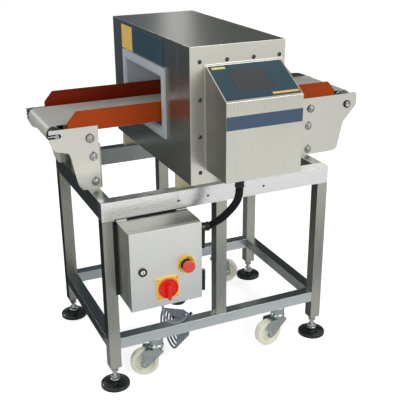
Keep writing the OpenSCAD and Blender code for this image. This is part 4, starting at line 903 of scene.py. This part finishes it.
def cheek_outline():
    """Pairs of trail and height: the back edge slants to a round eye and the front edge stands."""
    eye = [math.radians(EYE_START + EYE_SWEEP * k / EYE_STEPS) for k in range(EYE_STEPS + 1)]
    return ([(CHEEK_BACK, CROWN_Z), (CHEEK_BACK, CROWN_Z - CHEEK_DROP)]
            + [(CASTOR_TRAIL + CHEEK_EYE * math.cos(a), AXLE_Z + CHEEK_EYE * math.sin(a)) for a in eye]
            + [(CHEEK_FRONT, CROWN_Z)])


def fork_cheeks(name, x, y, trail, side):
    cheeks = []
    for s in (-1, 1):
        corners = [(x + trail.x * t + side.x * s * CHEEK_INNER, y + trail.y * t + side.y * s * CHEEK_INNER, z)
                   for t, z in cheek_outline()[::-s]]
        cheeks.append(slab("c", corners, CHEEK_SHEET))
    piece = add("castor_cheeks_" + name, joined("castor_cheeks_" + name, cheeks), ZINC, "castor_" + name)
    soften(piece, 0.6, 40)


def castor(i):
    name, x, y = NAMES[i], CASTOR_X[i], CORNER_Y[i]
    race = revolve("race", (x, y, 0), UP, RACE, 56)
    add("castor_race_" + name, race, ZINC, "castor_" + name)
    a = math.radians(CASTOR_HEADING[i])
    trail, side = Vector((math.cos(a), math.sin(a), 0)), Vector((-math.sin(a), math.cos(a), 0))
    fork_cheeks(name, x, y, trail, side)
    hub = Vector((x, y, AXLE_Z)) + trail * CASTOR_TRAIL
    caps = []
    for s in (-1, 1):
        place = hub + side * s * (CHEEK_INNER + CHEEK_SHEET)
        caps += hex_bolt(tuple(place), tuple(side * s), *AXLE_BOLT)
    add("castor_axle_" + name, joined("castor_axle_" + name, caps), BOLT, "castor_" + name)


for index in range(len(NAMES)):
    castor(index)


# The tie that carries the coil: a strap over the bottom rail and under the tops of the loops

STRAP_WIDTH, STRAP_HALF, STRAP_FINENESS = 12, 0.7, 4
LEAST_ACROSS = 0.3  # of the part of Y square to the route, under which X takes its place
STRAP_ROUTE = [
    (-96, -236, 189.6), (-96, -232, 189.7), (-96, -228, 188), (-97, -226, 183), (-99, -225, 176),
    (-103, -224, 169.5), (-112, -224, 166.2), (-128, -224, 165.6), (-146, -224, 166.2),
    (-156, -224, 169.5), (-160, -225, 176), (-162, -226, 183), (-163, -228, 188), (-163, -232, 189.7),
    (-163, -236, 189.6)]


def coil_strap():
    points, faces = [], []
    route = smooth_route(STRAP_ROUTE, STRAP_FINENESS)
    for i, p in enumerate(route):
        ahead = (route[min(i + 1, len(route) - 1)] - route[max(i - 1, 0)]).normalized()
        across = Vector(TO_BACK) - ahead * ahead.y
        across = across.normalized() if across.length > LEAST_ACROSS else Vector((1, 0, 0))
        up = across.cross(ahead).normalized()
        for a, b in ((-1, -1), (1, -1), (1, 1), (-1, 1)):
            points.append(at(*(p + across * a * STRAP_WIDTH / 2 + up * b * STRAP_HALF)))
    for i in range(len(route) - 1):
        for k in range(4):
            n = (k + 1) % 4
            faces.append((4 * i + k, 4 * i + n, 4 * i + 4 + n, 4 * i + 4 + k))
    faces += [(3, 2, 1, 0), tuple(4 * (len(route) - 1) + k for k in range(4))]
    add("coil_strap", mesh_of("coil_strap", points, faces), SEAL, "machine")


coil_strap()


GAP_SHADE_Y, GAP_SHADE_THICK = -281.4, 1.2
GAP_SHADE_STRIPS = ((-383, -362, 356, 617), (-377, -129, 606, 624))


def box_gap_shade():
    """Thin black strips between the box's back, the leg and the rail above it: painted shade in the gaps
    there.
    """
    strips = [slab("s", upright_rect(GAP_SHADE_Y, *strip), GAP_SHADE_THICK) for strip in GAP_SHADE_STRIPS]
    add("box_gap_shade", joined("box_gap_shade", strips), RUBBER, "machine", False)


box_gap_shade()


# Floor, light and background, in metres

FLOOR_REACH, FLOOR_TONE, FLOOR_ROUGH, FLOOR_SPEC = 8, 0.86, 0.9, 0.1
FLOOR_LIFT = 0.58  # its own light, for the camera's rays alone
CARD_FLOOR_Z, CARD_WALL_Y = 0.01, 3.1
SHADE_LEVEL = 0.5  # of the background, for rays that only light the object
GLEAM = (1.06, 1.3)  # the bright gap between the back cards, which the head's top mirrors


def floor():
    """A pale floor, a little brighter to the camera alone."""
    r = FLOOR_REACH
    mesh = mesh_of("floor", [(-r, -r, 0), (r, -r, 0), (r, r, 0), (-r, r, 0)], [(0, 1, 2, 3)])
    made = bpy.data.materials.new("floor_pale")
    made.use_nodes = True
    tree = made.node_tree
    shader = tree.nodes["Principled BSDF"]
    shader.inputs["Base Color"].default_value = (FLOOR_TONE, FLOOR_TONE, FLOOR_TONE, 1)
    shader.inputs["Roughness"].default_value = FLOOR_ROUGH
    shader.inputs["Specular IOR Level"].default_value = FLOOR_SPEC
    rays = tree.nodes.new("ShaderNodeLightPath")
    shader.inputs["Emission Color"].default_value = WHITE
    lift = tree.nodes.new("ShaderNodeMath")
    lift.operation = "MULTIPLY"
    lift.inputs[1].default_value = FLOOR_LIFT
    tree.links.new(rays.outputs["Is Camera Ray"], lift.inputs[0])
    tree.links.new(lift.outputs[0], shader.inputs["Emission Strength"])
    add("floor", mesh, made, None, False)


def lying(x0, x1, y0, y1):
    z = CARD_FLOOR_Z
    return [(x0, y0, z), (x1, y0, z), (x1, y1, z), (x0, y1, z)]


def card(name, corners, level):
    """A studio card that only reflections see."""
    made = bpy.data.materials.new(name)
    made.use_nodes = True
    tree = made.node_tree
    tree.nodes.clear()
    emit = tree.nodes.new("ShaderNodeEmission")
    emit.inputs["Color"].default_value = (*level, 1)
    out = tree.nodes.new("ShaderNodeOutputMaterial")
    tree.links.new(emit.outputs[0], out.inputs["Surface"])
    piece = add(name, mesh_of(name, corners, [(0, 1, 2, 3)]), made, None, False)
    piece.visible_camera = piece.visible_diffuse = piece.visible_shadow = piece.visible_transmission = False


def cards():
    """Dark cards behind the machine and left of it, and a pale one before it."""
    wall = CARD_WALL_Y
    card("card_left", lying(-0.42, -6, 0.1, 5), (0.05, 0.056, 0.06))
    card("card_left_wall", upright_rect(5, -0.7, -7, 0.0, 1.3), (0.06, 0.068, 0.07))
    card("card_back", upright_rect(wall, GLEAM[1], 6, 0.3, 5), (0.06, 0.07, 0.065))
    card("card_back_left", upright_rect(wall, -3, GLEAM[0], 0.3, 5), (0.07, 0.095, 0.125))
    card("card_back_low", upright_rect(wall, GLEAM[0], GLEAM[1], 0.3, 1.5), (0.06, 0.07, 0.07))
    card("card_front", lying(-1.5, 2.5, -0.5, -1.1), (0.4, 0.44, 0.46))


def world():
    """White to the camera, to reflections and through glass, and half as strong on the object."""
    made = bpy.data.worlds.new("studio")
    bpy.context.scene.world = made
    made.use_nodes = True
    tree = made.node_tree
    back = tree.nodes["Background"]
    rays = tree.nodes.new("ShaderNodeLightPath")
    seen = tree.nodes.new("ShaderNodeMath")
    seen.operation = "MAXIMUM"
    both = tree.nodes.new("ShaderNodeMath")
    both.operation = "MAXIMUM"
    tree.links.new(rays.outputs["Is Camera Ray"], seen.inputs[0])
    tree.links.new(rays.outputs["Is Glossy Ray"], seen.inputs[1])
    tree.links.new(seen.outputs[0], both.inputs[0])
    tree.links.new(rays.outputs["Is Transmission Ray"], both.inputs[1])
    level = range_node(tree, both.outputs[0], SHADE_LEVEL, 1.0, 0.0, 1.0)
    tree.links.new(level, back.inputs["Strength"])
    back.inputs["Color"].default_value = WHITE


def area(name, place, target, size, energy):
    data = bpy.data.lights.new(name, "AREA")
    data.shape, data.size, data.energy = "DISK", size, energy
    lamp = bpy.data.objects.new(name, data)
    bpy.context.scene.collection.objects.link(lamp)
    lamp.location = place
    lamp.rotation_euler = (Vector(target) - Vector(place)).to_track_quat("-Z", "Y").to_euler()


LAMPS = (  # name, place, target, size, power
    ("key", (1.6, -3.2, 3.4), (0, 0, 0.6), 2.2, 80),
    ("fill", (-2.6, -2.2, 2.2), (0, 0, 0.6), 2.5, 26),
    ("rim", (-1.8, 2.95, 2.25), (-0.3, 0, 0.9), 0.7, 26))

floor()
cards()
world()
for lamp_row in LAMPS:
    area(*lamp_row)
bpy.context.scene.view_settings.view_transform = "Standard"
